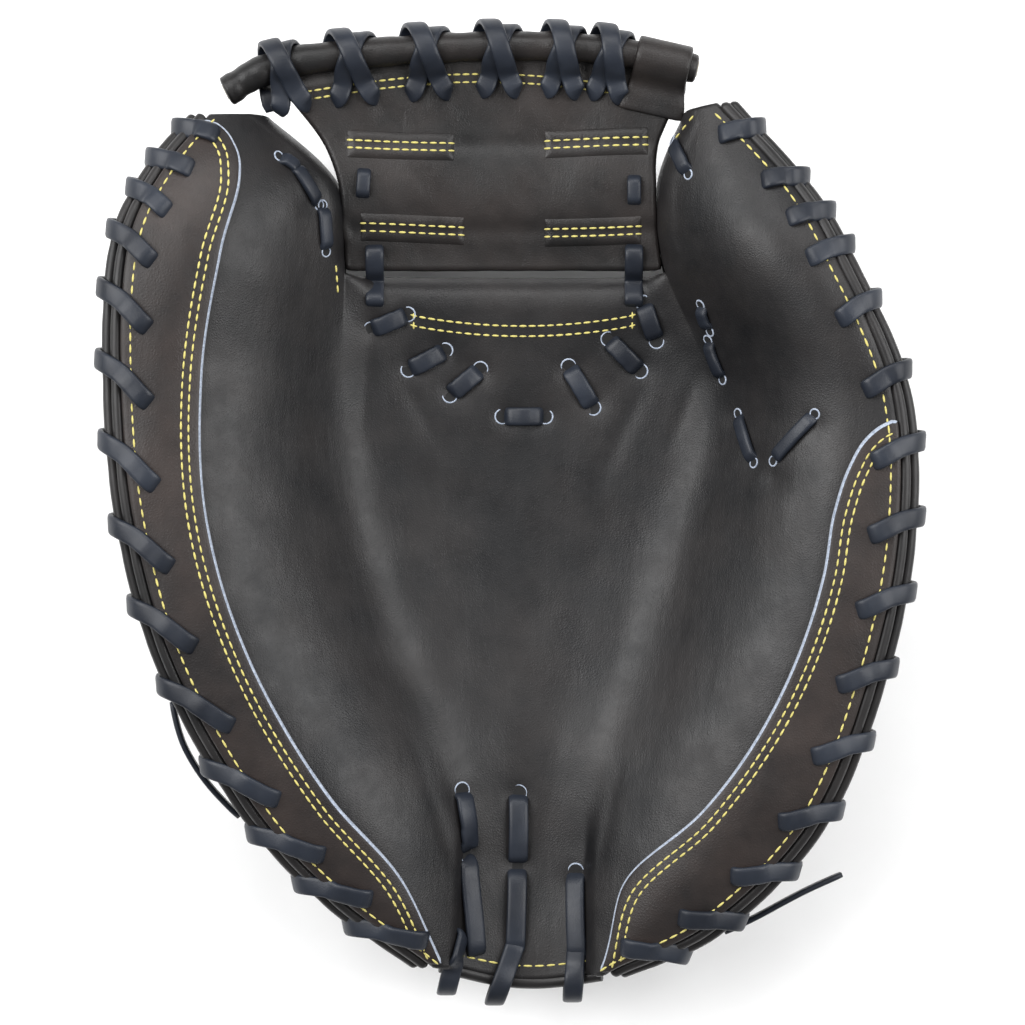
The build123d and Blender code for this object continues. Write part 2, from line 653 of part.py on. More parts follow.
# The keeper: a leather loop round the ring's outer bar, sewn under the finger side.
KEEPER = 2.0
keeper_x = FOLD_X + ring_x
bend = RING_WIRE + SEAT_GAP + KEEPER / 2
keeper_path = [(11.5, bend + 0.9), (8.0, bend + 0.8), (4.5, bend + 0.5)]
for angle in range(95, 266, 17):
    turn = math.radians(angle)
    keeper_path.append((bend * math.cos(turn), bend * math.sin(turn)))
keeper_path += [(4.6, -bend + 0.9), (8.2, bend - 2.2), (11.6, bend - 1.6)]
keeper_path = [(keeper_x + dx, STRAP_Y, FOLD_HEIGHT + dz) for dx, dz in keeper_path]
parts["ring_keeper"] = strap_along(keeper_path, (0, 1, 0), STRAP_WIDTH - 8, KEEPER)


# ---------------------------------------------------------------- lace ends and knots
def beside_rim(rows, s, across, drop):
    return raised(station(rows, s)[1] + outwards(rows, s) * across, -drop)


def knot(rows, s):
    centre = off_back(rows, s, 3.0, KNOT_RADIUS + LACE_SEAT)
    return Pos(*centre) * Sphere(KNOT_RADIUS)


parts["thumb_knot"] = knot(THUMB_STATIONS, 0.175)
parts["finger_knot"] = knot(FINGER_STATIONS, 0.862)

# Free ends: share along the side, distance out from the rim, distance below it.
TAILS = {
    "thumb_tail": (THUMB_STATIONS, [
        (0.345, 3.7, 20), (0.32, 6.8, 18.5), (0.292, 7.6, 19.5), (0.265, 6.8, 22.5),
        (0.243, 5.2, 26)]),
    "finger_tail": (FINGER_STATIONS, [
        (0.125, 4.4, 19), (0.148, 6.6, 17.5), (0.172, 9.0, 17.2), (0.194, 12.6, 18.5),
        (0.212, 17.5, 20.5)]),
}
for name, (rows, points) in TAILS.items():
    places = [beside_rim(rows, *point) for point in points]
    radii = []
    for a, b, c in zip(places, places[1:], places[2:]):
        turn = Vector(*(b - a)).get_angle(Vector(*(c - b)))
        shorter = min(np.linalg.norm(b - a), np.linalg.norm(c - b))
        radii.append(0.45 * shorter / math.tan(math.radians(turn) / 2))
    route = FilletPolyline(*[tuple(p) for p in places], radius=radii)
    print(name, "length", round(route.length, 2), "radii", [round(r, 1) for r in radii])
    start = Plane(origin=route @ 0, x_dir=(0, 0, 1), z_dir=route % 0)
    section = start * Rectangle(LACE_WIDTH, LACE_THICKNESS)
    parts[name] = sweep(section, path=route, transition=Transition.ROUND)
    print(name, "volume share", round(
        parts[name].volume / (LACE_WIDTH * LACE_THICKNESS * route.length), 4))

# ---------------------------------------------------------------- origin and export
boxes = [shape.bounding_box() for name, shape in parts.items() if name not in TAILS]
MIDDLE_X = (min(b.min.X for b in boxes) + max(b.max.X for b in boxes)) / 2
MIDDLE_Y = (min(b.min.Y for b in boxes) + max(b.max.Y for b in boxes)) / 2
LOWEST = min(on_back(rows, s, w)[2] for rows, *_ in SIDES.values()
             for s in np.linspace(0.3, 0.8, 101) for w in np.linspace(0.3, 0.6, 61))
print("shift", round(-MIDDLE_X, 4), round(-MIDDLE_Y, 4), round(-LOWEST, 4), "fold", FOLD_X, STRAP_Y, FOLD_HEIGHT)
print("index", INDEX_AT)

os.makedirs("parts", exist_ok=True)
for name, shape in parts.items():
    export_step(Pos(-MIDDLE_X, -MIDDLE_Y, -LOWEST) * shape, f"parts/{name}.step")
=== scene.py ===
# %% [markdown]
# # A catcher's mitt, palm up
# The mitt lies on its back on a pale table. Its construction is already settled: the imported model
# has every layer, lace and strap as a separate part, and a fold line along each side of the palm.
# This lesson gives those parts their leather, thread and steel.
# Lengths here are written in millimetres, because that is how a glove maker cuts leather, and they
# become metres in one place only, where a mesh is made.

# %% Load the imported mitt
import json
import math

import bmesh
import bpy
import numpy as np
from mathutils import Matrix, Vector
from mathutils.bvhtree import BVHTree


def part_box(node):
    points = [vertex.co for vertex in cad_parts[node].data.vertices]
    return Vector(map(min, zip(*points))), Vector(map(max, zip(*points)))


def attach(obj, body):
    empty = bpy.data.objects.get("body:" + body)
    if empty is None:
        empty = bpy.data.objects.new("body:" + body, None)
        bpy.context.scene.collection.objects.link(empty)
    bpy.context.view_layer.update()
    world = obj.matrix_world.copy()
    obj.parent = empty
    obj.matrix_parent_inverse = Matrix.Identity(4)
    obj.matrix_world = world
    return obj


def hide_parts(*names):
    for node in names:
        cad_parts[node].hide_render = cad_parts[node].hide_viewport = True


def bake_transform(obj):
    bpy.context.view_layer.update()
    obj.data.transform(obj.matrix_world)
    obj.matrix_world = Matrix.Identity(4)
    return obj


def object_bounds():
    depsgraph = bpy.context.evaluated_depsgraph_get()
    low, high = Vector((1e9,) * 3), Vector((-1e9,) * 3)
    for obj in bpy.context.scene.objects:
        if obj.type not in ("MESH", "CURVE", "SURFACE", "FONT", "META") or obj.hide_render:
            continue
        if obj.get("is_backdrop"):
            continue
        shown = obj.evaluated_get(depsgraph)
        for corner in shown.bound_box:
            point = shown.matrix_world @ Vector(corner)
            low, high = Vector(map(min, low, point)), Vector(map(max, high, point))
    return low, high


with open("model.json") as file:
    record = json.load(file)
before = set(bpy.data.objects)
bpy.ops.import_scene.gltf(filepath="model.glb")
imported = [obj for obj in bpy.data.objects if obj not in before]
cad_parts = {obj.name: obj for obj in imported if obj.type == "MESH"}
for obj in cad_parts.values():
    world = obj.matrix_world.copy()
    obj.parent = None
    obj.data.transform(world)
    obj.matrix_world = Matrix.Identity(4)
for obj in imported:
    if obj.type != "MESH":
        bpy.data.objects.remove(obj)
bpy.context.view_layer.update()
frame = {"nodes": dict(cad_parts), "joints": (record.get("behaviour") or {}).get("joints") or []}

peel = next(j for j in frame["joints"] if j["name"] == "strap_peel")
SHIFT = np.array(peel["pos_m"]) * 1000 - (36.0, -100.0, 5.5)

# %% [markdown]
# ## The camera
# A long lens straight above the palm, with the web at the top of the frame, keeps the outline
# of the rims true, so no side of the mitt looks nearer than the other.

# %% Camera
lens = bpy.data.cameras.new("camera")
camera = bpy.data.objects.new("camera", lens)
bpy.context.scene.collection.objects.link(camera)
bpy.context.scene.camera = camera
lens.sensor_width = 36.0
FIELD = 0.3075                       # width that the frame takes in, at the height of the rims
DISTANCE, RIM_LEVEL = 1.5, 0.075     # camera above the rims, rims above the table
lens.lens = lens.sensor_width * DISTANCE / FIELD
camera.location = (SHIFT[0] / 1000, SHIFT[1] / 1000, DISTANCE + RIM_LEVEL)
lens.clip_end = 10
print("lens", round(lens.lens, 1), "mm")

# %% [markdown]
# ## Meshes from numbers
# Everything soft here is a sheet, a strip or a round cord, so three makers are enough: one turns
# faces into an object, one sweeps an outline along a line, and one gives a sheet its thickness
# and its rounded cut edges. An outline swept in code gives exact control over where a lace turns,
# which a curve's own bevel would not.

# %% Turn numbers into an object
def object_from(name, points, faces, materials, face_material=None, outward=True):
    """Mesh object from points in millimetres, smooth, with its faces turned outwards."""
    mesh = bpy.data.meshes.new(name)
    mesh.from_pydata([tuple(p) for p in (np.asarray(points) + SHIFT) / 1000], [],
                     [tuple(int(i) for i in f) for f in faces])
    for material in materials:
        mesh.materials.append(material)
    if face_material is not None:
        mesh.polygons.foreach_set("material_index", face_material)
    mesh.polygons.foreach_set("use_smooth", [True] * len(mesh.polygons))
    if outward:
        form = bmesh.new()
        form.from_mesh(mesh)
        bmesh.ops.recalc_face_normals(form, faces=form.faces)
        form.to_mesh(mesh)
        form.free()
    mesh.update()
    made = bpy.data.objects.new(name, mesh)
    bpy.context.scene.collection.objects.link(made)
    return made


def unit(v):
    """Each vector at a length of one."""
    v = np.asarray(v, float)
    return v / np.maximum(np.linalg.norm(v, axis=-1, keepdims=True), 1e-12)


def joined(forms):
    """Several (points, faces) as one."""
    points, faces, start = [], [], 0
    for p, f in forms:
        points.append(np.asarray(p))
        faces += [tuple(i + start for i in face) for face in f]
        start += len(p)
    return np.concatenate(points), faces


# %% Sweep an outline along a line
def swept(rings):
    """Closed form from rings of points, all of one length."""
    rings = np.asarray(rings, float)
    n, m, _ = rings.shape
    faces = [(i * m + j, i * m + (j + 1) % m, (i + 1) * m + (j + 1) % m, (i + 1) * m + j)
             for i in range(n - 1) for j in range(m)]
    points = np.concatenate([rings.reshape(-1, 3), rings[:1].mean(1), rings[-1:].mean(1)])
    first, last = n * m, n * m + 1
    faces += [(first, (j + 1) % m, j) for j in range(m)]
    faces += [(last, (n - 1) * m + j, (n - 1) * m + (j + 1) % m) for j in range(m)]
    return points, faces


def along(line):
    """Direction of travel at each point of a line."""
    line = np.asarray(line, float)
    ahead = np.gradient(line, axis=0)
    return unit(ahead)


def refine(line, count):
    """More points on a smooth line through the given ones."""
    line = np.asarray(line, float)
    gaps = np.r_[0, np.cumsum(np.linalg.norm(np.diff(line, axis=0), axis=1))]
    shares = np.linspace(0, gaps[-1], count)
    tangent = np.gradient(line, gaps, axis=0)
    out = []
    for d in shares:
        k = min(int(np.searchsorted(gaps, d, side="right")) - 1, len(line) - 2)
        h = gaps[k + 1] - gaps[k]
        t = (d - gaps[k]) / h
        out.append((2 * t**3 - 3 * t**2 + 1) * line[k] + (t**3 - 2 * t**2 + t) * h * tangent[k]
                   + (3 * t**2 - 2 * t**3) * line[k + 1] + (t**3 - t**2) * h * tangent[k + 1])
    return np.array(out)


def with_facing(line, facing, count):
    """A finer line, with the way that its flat side faces carried along it."""
    line, facing = np.asarray(line, float), np.asarray(facing, float)
    gaps = np.r_[0, np.cumsum(np.linalg.norm(np.diff(line, axis=0), axis=1))]
    shares = np.linspace(0, gaps[-1], count)
    carried = np.array([np.interp(shares, gaps, facing[:, k]) for k in range(3)]).T
    return refine(line, count), unit(carried)


def strip(line, facing, width, thick, crown=0.0, taper=0.8):
    """Flat lace whose face points along facing, with softly rounded edges."""
    line = np.asarray(line, float)
    ahead = along(line)
    facing = np.broadcast_to(np.asarray(facing, float), line.shape)
    facing = unit(facing - ahead * np.sum(facing * ahead, 1, keepdims=True))
    side = np.cross(ahead, facing)
    turns = np.linspace(0, 2 * math.pi, 14, endpoint=False) + 0.01
    a = np.sign(np.cos(turns)) * np.abs(np.cos(turns)) ** 0.35
    b = np.sign(np.sin(turns)) * np.abs(np.sin(turns)) ** 0.6
    size = np.ones(len(line))
    size[0] = size[-1] = taper
    size[1] = size[-2] = (1 + taper) / 2 if len(line) > 4 else 1
    size = size[:, None, None]
    rings = (line[:, None] + side[:, None] * a[None, :, None] * width / 2 * size
             + facing[:, None] * (b * thick / 2 + crown * (1 - a**2))[None, :, None] * size)
    return swept(rings)


def cord_form(line, radius, sides=14):
    """Round cord along a line."""
    line = np.asarray(line, float)
    ahead = along(line)
    up = np.array([0, 0, 1.0]) if abs(ahead[:, 2]).max() < 0.9 else np.array([0, 1.0, 0])
    side = unit(np.cross(ahead, up))
    up = np.cross(side, ahead)
    radius = np.broadcast_to(radius, len(line))[:, None, None]
    turns = np.linspace(0, 2 * math.pi, sides, endpoint=False)
    rings = line[:, None] + radius * (side[:, None] * np.cos(turns)[None, :, None]
                                      + up[:, None] * np.sin(turns)[None, :, None])
    return swept(rings)


# %% Give a sheet its thickness
def grid_faces(n, m, keep=None):
    """Four-sided faces of an n by m grid, less those that keep(i, j) refuses."""
    return [(i * m + j, (i + 1) * m + j, (i + 1) * m + j + 1, i * m + j + 1)
            for i in range(n - 1) for j in range(m - 1) if keep is None or keep(i, j)]


def sheet_normals(points, faces):
    """Normal at each point, weighted by the faces round it."""
    points, faces = np.asarray(points, float), np.asarray(faces)
    across = np.cross(points[faces[:, 2]] - points[faces[:, 0]],
                      points[faces[:, 3]] - points[faces[:, 1]])
    total = np.zeros_like(points)
    for k in range(4):
        np.add.at(total, faces[:, k], across)
    return unit(total)


def thickened(points, faces, thick, soft=0.8, raw=None, normals=None):
    """Closed sheet below the given face, with rounded cut edges. raw marks a pale edge's points."""
    points, faces = np.asarray(points, float), np.asarray(faces)
    used = np.unique(faces)
    again = np.full(len(points), -1)
    again[used] = np.arange(len(used))
    points, faces = points[used], again[faces]
    if raw is not None:
        raw = np.asarray(raw)[used]
    up = sheet_normals(points, faces) if normals is None else np.asarray(normals)[used]
    pairs = np.concatenate([faces[:, [k, (k + 1) % 4]] for k in range(4)])
    have = set(map(tuple, pairs.tolist()))
    rim = [(a, b) for a, b in have if (b, a) not in have]
    out = np.zeros_like(points)
    for a, b in rim:
        o = unit(np.cross(points[b] - points[a], up[a] + up[b]))
        out[a] += o
        out[b] += o
    out = unit(out)
    under = points - up * thick
    middle = (points + under) / 2
    edge = np.unique(np.array(rim))
    place = {int(v): k for k, v in enumerate(edge)}
    n, e = len(points), len(edge)
    layers = [points, under]
    for turn in (40, 90, 140):
        c, s = math.cos(math.radians(turn)), math.sin(math.radians(turn))
        layers.append(middle[edge] + up[edge] * thick / 2 * c + out[edge] * thick / 2 * soft * s)
    made = [tuple(f) for f in faces.tolist()] + [tuple(n + i for i in f[::-1])
                                                 for f in faces.tolist()]
    kinds = [0] * len(made)
    for a, b in rim:
        rows = [(a, b)] + [(2 * n + k * e + place[a], 2 * n + k * e + place[b]) for k in range(3)]
        rows.append((n + a, n + b))
        pale = 1 if raw is not None and raw[a] and raw[b] else 0
        for (p, q), (r, t) in zip(rows, rows[1:]):
            made.append((q, p, r, t))
            kinds.append(pale)
    return np.concatenate(layers), made, kinds, used


def sheet_object(name, grid, thick, materials, keep=None, raw=None, soft=0.8):
    """Leather panel from rows of points on its outer face."""
    grid = np.asarray(grid, float)
    n, m, _ = grid.shape
    flags = None if raw is None else np.asarray(raw).reshape(-1)
    points, faces, kinds, _ = thickened(grid.reshape(-1, 3), grid_faces(n, m, keep), thick, soft,
                                        flags)
    return object_from(name, points, faces, materials, kinds if len(materials) > 1 else None)


def worn(piece, body, slot, *nodes):
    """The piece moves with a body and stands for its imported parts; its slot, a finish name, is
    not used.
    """
    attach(piece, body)
    if nodes:
        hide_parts(*nodes)
    print(piece.name, len(piece.data.polygons), "faces on", body)
    return piece

# %% [markdown]
# ## The lines that the mitt is cut to
# Each side is a padded roll that runs from the heel to the tip. Nine stations give its inner edge,
# its rim, and how high its leather stands between them. Every sheet, lace and stitch below asks
# these same lines where it belongs, so nothing has to be placed by eye.

# %% Stations along each side
# Inner edge x, y and rise, rim x, y and drop, share of the bulge, back's inner height and its
# lowest height.
THUMB = np.array([
    (-17.5, -138, 9, -27.5, -138.0, 30, 0.15, 34, 32),
    (-16, -110, 7, -55.0, -117.9, 21, 0.55, 19, 18),
    (-17, -80, 4, -80.6, -89.5, 13, 0.85, 13, 12), (-34, -42, 1, -104.3, -46.4, 5, 0.95, 4, -0.8),
    (-47, 0, 0, -116.5, -2.0, 1, 1.0, 8, -1.2), (-51.5, 40, 3, -120.2, 43.7, 0, 1.0, 20, -1.2),
    (-51, 75, 10, -117.9, 81.0, 1, 0.95, 30, 1), (-53, 100, 14, -107.5, 103.9, 7, 0.65, 37, 14),
    (-74, 120, 18, -95.1, 119.5, 15, 0.15, 46, 44)], float)
FINGER = np.array([
    (23.5, -140, 9, 31.0, -140.4, 30, 0.15, 34, 32),
    (23.5, -110, 7, 61.6, -126.3, 21, 0.55, 19, 18),
    (27, -80, 4, 91.7, -95.0, 13, 0.85, 13, 12), (40, -42, 1, 108.9, -53.1, 5, 0.95, 4, -0.8),
    (53, 0, 0, 118.2, -8.3, 1, 1.0, 8, -1.2), (60, 38, 3, 116.8, 35.7, 0, 1.0, 20, -1.2),
    (46, 75, 10, 100.2, 75.5, 1, 0.95, 30, 1), (44, 100, 14, 87.7, 97.4, 7, 0.65, 37, 14),
    (52, 121, 18, 65.0, 123.5, 15, 0.15, 46, 44)], float)
POCKET, RIM, BULGE, LEATHER, RIM_STACK, KEEL, LIP = 44.0, 84.0, 14.0, 2.6, 16.5, 0.42, 0.738
LACE_WIDTH, LACE_THICK = 6.0, 1.8
LINING = 1.4               # soft leather against the hand
PAD_EDGE = 9.0             # rim line to the edge of the padding
WELT = 1.75                # the two rolled strips at the rim
RIM_EDGE = 4.2             # rim line to the cut edge of the front leather


def through(rows, share):
    """Values on a smooth line through the rows, at a share of its length."""
    rows = np.asarray(rows, float)
    place = share * (len(rows) - 1)
    k = min(max(int(place), 0), len(rows) - 2)
    t = place - k
    a, b, c, d = rows[max(k - 1, 0)], rows[k], rows[k + 1], rows[min(k + 2, len(rows) - 1)]
    return 0.5 * (2 * b + (c - a) * t + (2 * a - 5 * b + 4 * c - d) * t**2
                  + (3 * b - a - 3 * c + d) * t**3)


def station(rows, s):
    """Inner edge, rim, bulge and the two heights of the back, at a share of the side."""
    xi, yi, up, xo, yo, drop, bulge, back_in, keel = through(rows, s)
    return (np.array([xi, yi, POCKET + up]), np.array([xo, yo, RIM - drop]), bulge * BULGE,
            back_in, keel)


def span(rows, s):
    """Width of the side in plan."""
    inner, outer, *_ = station(rows, s)
    return float(np.linalg.norm((outer - inner)[:2]))


def outwards(rows, s):
    """Level direction from the inner edge to the rim."""
    inner, outer, *_ = station(rows, s)
    return unit((outer - inner) * (1, 1, 0))


def rim_edge(rows, s):
    """Rim line to the cut edge of the front leather, less where the side is narrow."""
    return RIM_EDGE * math.tanh(0.5 * span(rows, s) / RIM_EDGE)


def front(rows, s, v):
    """Outer face of the front leather, v running from the inner edge to the rim."""
    inner, outer, bulge, *_ = station(rows, s)
    return inner + (outer - inner) * v + (0, 0, bulge * math.sin(math.pi * v))


def back(rows, s, v):
    """Outer face of the back leather."""
    inner, outer, _, back_in, keel = station(rows, s)
    point = inner + (outer - inner) * v
    rim = outer[2] - RIM_STACK
    if v < KEEL:
        z = keel + (back_in - keel) * (1 - v / KEEL) ** 2
    else:
        z = keel + (rim - keel) * ((v - KEEL) / (1 - KEEL)) ** 2
    point[2] = (z + math.hypot(z, 0.8)) / 2
    return point


def beside_rim(rows, s, across, drop):
    """Point beside the rim line, further out and lower by the given amounts."""
    return station(rows, s)[1] + outwards(rows, s) * across - (0, 0, drop)


def off_back(rows, s, from_rim, clear):
    """Point and slope just outside the back leather."""
    v = 1 - from_rim / span(rows, s)
    rise = back(rows, s, min(v + .004, 1))[2] - back(rows, s, max(v - .004, 0))[2]
    normal = outwards(rows, s) * rise / (0.008 * span(rows, s)) - (0, 0, 1.0)
    return back(rows, s, v) + unit(normal) * clear, unit(normal)


def smooth(t):
    """Eases 0 to 1."""
    t = np.clip(t, 0, 1)
    return t * t * (3 - 2 * t)


def palm(s, w):
    """Palm leather between the two inner edges."""
    left = station(THUMB, s)[0] + (0.4, 0, 0)
    right = station(FINGER, s)[0] - (0.4, 0, 0)
    point = left + (right - left) * w
    point[1] -= 3.0 * math.sin(math.pi * w) * smooth(1 - s / 0.15)
    point[2] -= 5.0 * smooth((0.30 - s) / 0.22) + 4.0 * math.sin(math.pi * w)
    return point


for side, rows in (("thumb", THUMB), ("finger", FINGER)):
    print(side, "side is", round(max(span(rows, s) for s in np.linspace(0, 1, 50)), 1), "mm wide")

# %% [markdown]
# ## Free lace ends
# The rim lace is one long thong, and each end of it hangs free past its last hole. A thong that
# short hangs by its own weight, so its line is smooth: a NURBS curve takes the route's points as
# control points, and a flat strip follows what that curve gives.

# %% The two free ends
TAIL_ROUTES = {
    "thumb_tail": [(-0.10262, -0.05789, 0.05728), (-0.10102, -0.06736, 0.05717),
                   (-0.09616, -0.07751, 0.05426),
                   (-0.08982, -0.08641, 0.0494), (-0.08384, -0.09269, 0.04447)],
    "finger_tail": [(0.06616, -0.12847, 0.04392), (0.07401, -0.1246, 0.04695),
                    (0.08254, -0.11965, 0.0488),
                    (0.09169, -0.11483, 0.04889), (0.1009, -0.11095, 0.04802)],
}


def nurbs_line(name, route):
    """Points along the smooth line that a route's control points pull."""
    data = bpy.data.curves.new(name, "CURVE")
    data.dimensions = "3D"
    data.resolution_u = 12
    spline = data.splines.new("NURBS")
    spline.points.add(len(route) - 1)
    for point, place in zip(spline.points, route):
        point.co = (*place, 1.0)
    spline.order_u = 3
    spline.use_endpoint_u = True
    holder = bpy.data.objects.new(name, data)
    bpy.context.scene.collection.objects.link(holder)
    graph = bpy.context.evaluated_depsgraph_get()
    mesh = bpy.data.meshes.new_from_object(holder.evaluated_get(graph))
    line = np.array([v.co for v in mesh.vertices])
    bpy.data.objects.remove(holder)
    bpy.data.meshes.remove(mesh)
    return line


tail_lines = {name: nurbs_line(name + "_route", route) for name, route in TAIL_ROUTES.items()}
for name, line in tail_lines.items():
    print(name, round(float(np.linalg.norm(np.diff(line, axis=0), axis=1).sum()) * 1000, 1),
          "mm long")

# %% [markdown]
# ## Finishes
# Black glove leather is drum-dyed steer hide. It has a fine pebbled grain, a few long creases where
# it has been worked, slightly polished high places, and a waxy sheen. All of that is a pattern in
# space, so each finish reads Object coordinates: the mitt's pieces share one origin, and the grain
# runs on from one panel to the next without a seam. A Mapping node turns metres into millimetres,
# so every scale below is grains for each millimetre.

# %% Small helpers for finishes
def start_finish(name):
    """New material whose patterns are measured in millimetres of the object."""
    material = bpy.data.materials.new(name)
    material.use_nodes = True
    tree = material.node_tree
    shader = tree.nodes["Principled BSDF"]
    where = tree.nodes.new("ShaderNodeTexCoord")
    to_mm = tree.nodes.new("ShaderNodeMapping")
    to_mm.inputs["Scale"].default_value = (1000, 1000, 1000)
    tree.links.new(where.outputs["Object"], to_mm.inputs["Vector"])
    return material, tree, shader, to_mm.outputs["Vector"]


def noise(tree, vector, scale, detail=3.0, roughness=0.5, stretch=None):
    if stretch is not None:
        turned = tree.nodes.new("ShaderNodeMapping")
        turned.inputs["Rotation"].default_value = stretch[0]
        turned.inputs["Scale"].default_value = stretch[1]
        tree.links.new(vector, turned.inputs["Vector"])
        vector = turned.outputs["Vector"]
    node = tree.nodes.new("ShaderNodeTexNoise")
    node.inputs["Scale"].default_value = scale
    node.inputs["Detail"].default_value = detail
    node.inputs["Roughness"].default_value = roughness
    tree.links.new(vector, node.inputs["Vector"])
    return node.outputs["Fac"]


def cells(tree, vector, scale, feature="DISTANCE_TO_EDGE"):
    node = tree.nodes.new("ShaderNodeTexVoronoi")
    node.feature = feature
    node.inputs["Scale"].default_value = scale
    tree.links.new(vector, node.inputs["Vector"])
    return node.outputs["Distance"]


def ramp(tree, value, stops):
    node = tree.nodes.new("ShaderNodeValToRGB")
    while len(node.color_ramp.elements) < len(stops):
        node.color_ramp.elements.new(0.5)
    for element, (at, colour) in zip(node.color_ramp.elements, stops):
        element.position = at
        element.color = (*colour, 1)
    tree.links.new(value, node.inputs["Fac"])
    return node.outputs["Color"]


def scaled(tree, value, low, high, new_low, new_high):
    node = tree.nodes.new("ShaderNodeMapRange")
    for key, number in zip(("From Min", "From Max", "To Min", "To Max"),
                           (low, high, new_low, new_high)):
        node.inputs[key].default_value = number
    tree.links.new(value, node.inputs["Value"])
    return node.outputs["Result"]


def bumps(tree, shader, layers):
    """Stack of relief layers, each (height, strength, depth in mm)."""
    normal = None
    for height, strength, depth in layers:
        node = tree.nodes.new("ShaderNodeBump")
        node.inputs["Strength"].default_value = strength
        node.inputs["Distance"].default_value = depth / 1000
        tree.links.new(height, node.inputs["Height"])
        if normal is not None:
            tree.links.new(normal, node.inputs["Normal"])
        normal = node.outputs["Normal"]
    tree.links.new(normal, shader.inputs["Normal"])


# %% Leather
def leather(name, dark, light, pebble=1.25, grain=0.16, crease=0.35, gloss=(0.36, 0.52), coat=0.05,
            sheen=0.0, tint=(1, 1, 1)):
    """Drum-dyed hide: colour drifts between dark and light, pebble is cells for each mm."""
    material, tree, shader, mm = start_finish(name)
    drift = noise(tree, mm, 0.035, 4, 0.6)
    tree.links.new(ramp(tree, drift, [(0.35, dark), (0.68, light)]), shader.inputs["Base Color"])
    rub = noise(tree, mm, 0.11, 5, 0.65)
    tree.links.new(scaled(tree, rub, 0.3, 0.7, *gloss), shader.inputs["Roughness"])
    bumps(tree, shader, [
        (noise(tree, mm, 0.045, 3, 0.5, ((0, 0, 0.5), (1.0, 0.45, 1.0))), 0.6, crease * 2.2),
        (noise(tree, mm, 0.22, 6, 0.62, ((0.2, 0.1, 0.9), (1.0, 0.35, 1.0))), 0.5, crease),
        (cells(tree, mm, pebble), 0.55, grain),
        (noise(tree, mm, 4.2, 2, 0.5), 0.25, grain * 0.4)])
    shader.inputs["Specular IOR Level"].default_value = 0.26
    shader.inputs["Coat Weight"].default_value = coat
    shader.inputs["Coat Roughness"].default_value = 0.38
    shader.inputs["Sheen Weight"].default_value = sheen
    shader.inputs["Sheen Roughness"].default_value = 0.5
    shader.inputs["Sheen Tint"].default_value = (*tint, 1)
    return material


palm_leather = leather("palm_leather", (0.0065, 0.0065, 0.0072), (0.016, 0.0145, 0.0145))
rim_leather = leather("outer_panel_leather", (0.010, 0.0085, 0.0085), (0.027, 0.0205, 0.0185),
                      pebble=1.1,
                      gloss=(0.38, 0.50), coat=0.07)
back_leather = leather("back_leather", (0.007, 0.0068, 0.0072), (0.017, 0.015, 0.0145), pebble=1.0,
                       grain=0.2)
web_leather = leather("web_leather", (0.007, 0.0068, 0.007), (0.020, 0.0165, 0.0155), crease=0.5,
                      gloss=(0.33, 0.50))
welt_leather = leather("welt_leather", (0.008, 0.0078, 0.0082), (0.018, 0.0165, 0.0165),
                       pebble=1.8, grain=0.08,
                       crease=0.15, gloss=(0.34, 0.46))
lining_leather = leather("lining_leather", (0.030, 0.026, 0.024), (0.055, 0.047, 0.042),
                         pebble=0.9, grain=0.25,
                         gloss=(0.62, 0.75), coat=0.0, sheen=0.2)
lace_leather = leather("lace_leather", (0.0075, 0.0095, 0.0145), (0.017, 0.021, 0.030), pebble=2.2,
                       grain=0.07,
                       crease=0.10, gloss=(0.34, 0.50), coat=0.04)
print("leathers:", len(bpy.data.materials))


# %% Raw edges, thread and felt
def fibrous(name, dark, light, scale=1.6, depth=0.25, rough=0.88, sheen=0.3):
    """Anything made of loose fibres: a cut hide edge, felt, or a cotton core."""
    material, tree, shader, mm = start_finish(name)
    fibre = noise(tree, mm, scale, 8, 0.75)
    tree.links.new(ramp(tree, fibre, [(0.34, dark), (0.66, light)]), shader.inputs["Base Color"])
    tree.links.new(scaled(tree, fibre, 0.3, 0.7, rough - 0.08, rough + 0.06),
                   shader.inputs["Roughness"])
    bumps(tree, shader, [(fibre, 0.8, depth), (noise(tree, mm, scale * 4, 2), 0.5, depth * 0.3)])
    shader.inputs["Sheen Weight"].default_value = sheen
    return material


raw_edge = fibrous("raw_leather_edge", (0.13, 0.16, 0.22), (0.42, 0.47, 0.56), scale=1.1)
thread = fibrous("waxed_thread", (0.36, 0.31, 0.07), (0.60, 0.53, 0.17), scale=3.5, depth=0.12,
                 rough=0.55, sheen=0.1)
felt = fibrous("pressed_felt", (0.22, 0.21, 0.20), (0.42, 0.41, 0.39), scale=0.9, depth=0.5)
core_cord = fibrous("core_cord", (0.30, 0.27, 0.20), (0.52, 0.47, 0.36), scale=1.8, depth=0.4)
fleece = fibrous("fleece_pile", (0.020, 0.020, 0.022), (0.075, 0.073, 0.075), scale=1.1, depth=0.8,
                 rough=0.9, sheen=0.6)
# Painted shade: a near-black finish for the disc that stands in for the shaded inside of each
# punched hole.
hole_painted_shade = fibrous("punched_hole", (0.001, 0.001, 0.0012), (0.004, 0.004, 0.0045), scale=2.0,
                    depth=0.1, sheen=0.0)


# %% Fastening tape and steel
def tape(name, dark, light, scale):
    material, tree, shader, mm = start_finish(name)
    loops = cells(tree, mm, scale, "F1")
    tree.links.new(ramp(tree, loops, [(0.15, light), (0.6, dark)]), shader.inputs["Base Color"])
    tree.links.new(scaled(tree, loops, 0, 0.7, 0.5, 0.9), shader.inputs["Roughness"])
    bumps(tree, shader, [(loops, 0.9, 0.35), (noise(tree, mm, 5.0, 4, 0.7), 0.6, 0.15)])
    shader.inputs["Sheen Weight"].default_value = 0.3
    return material


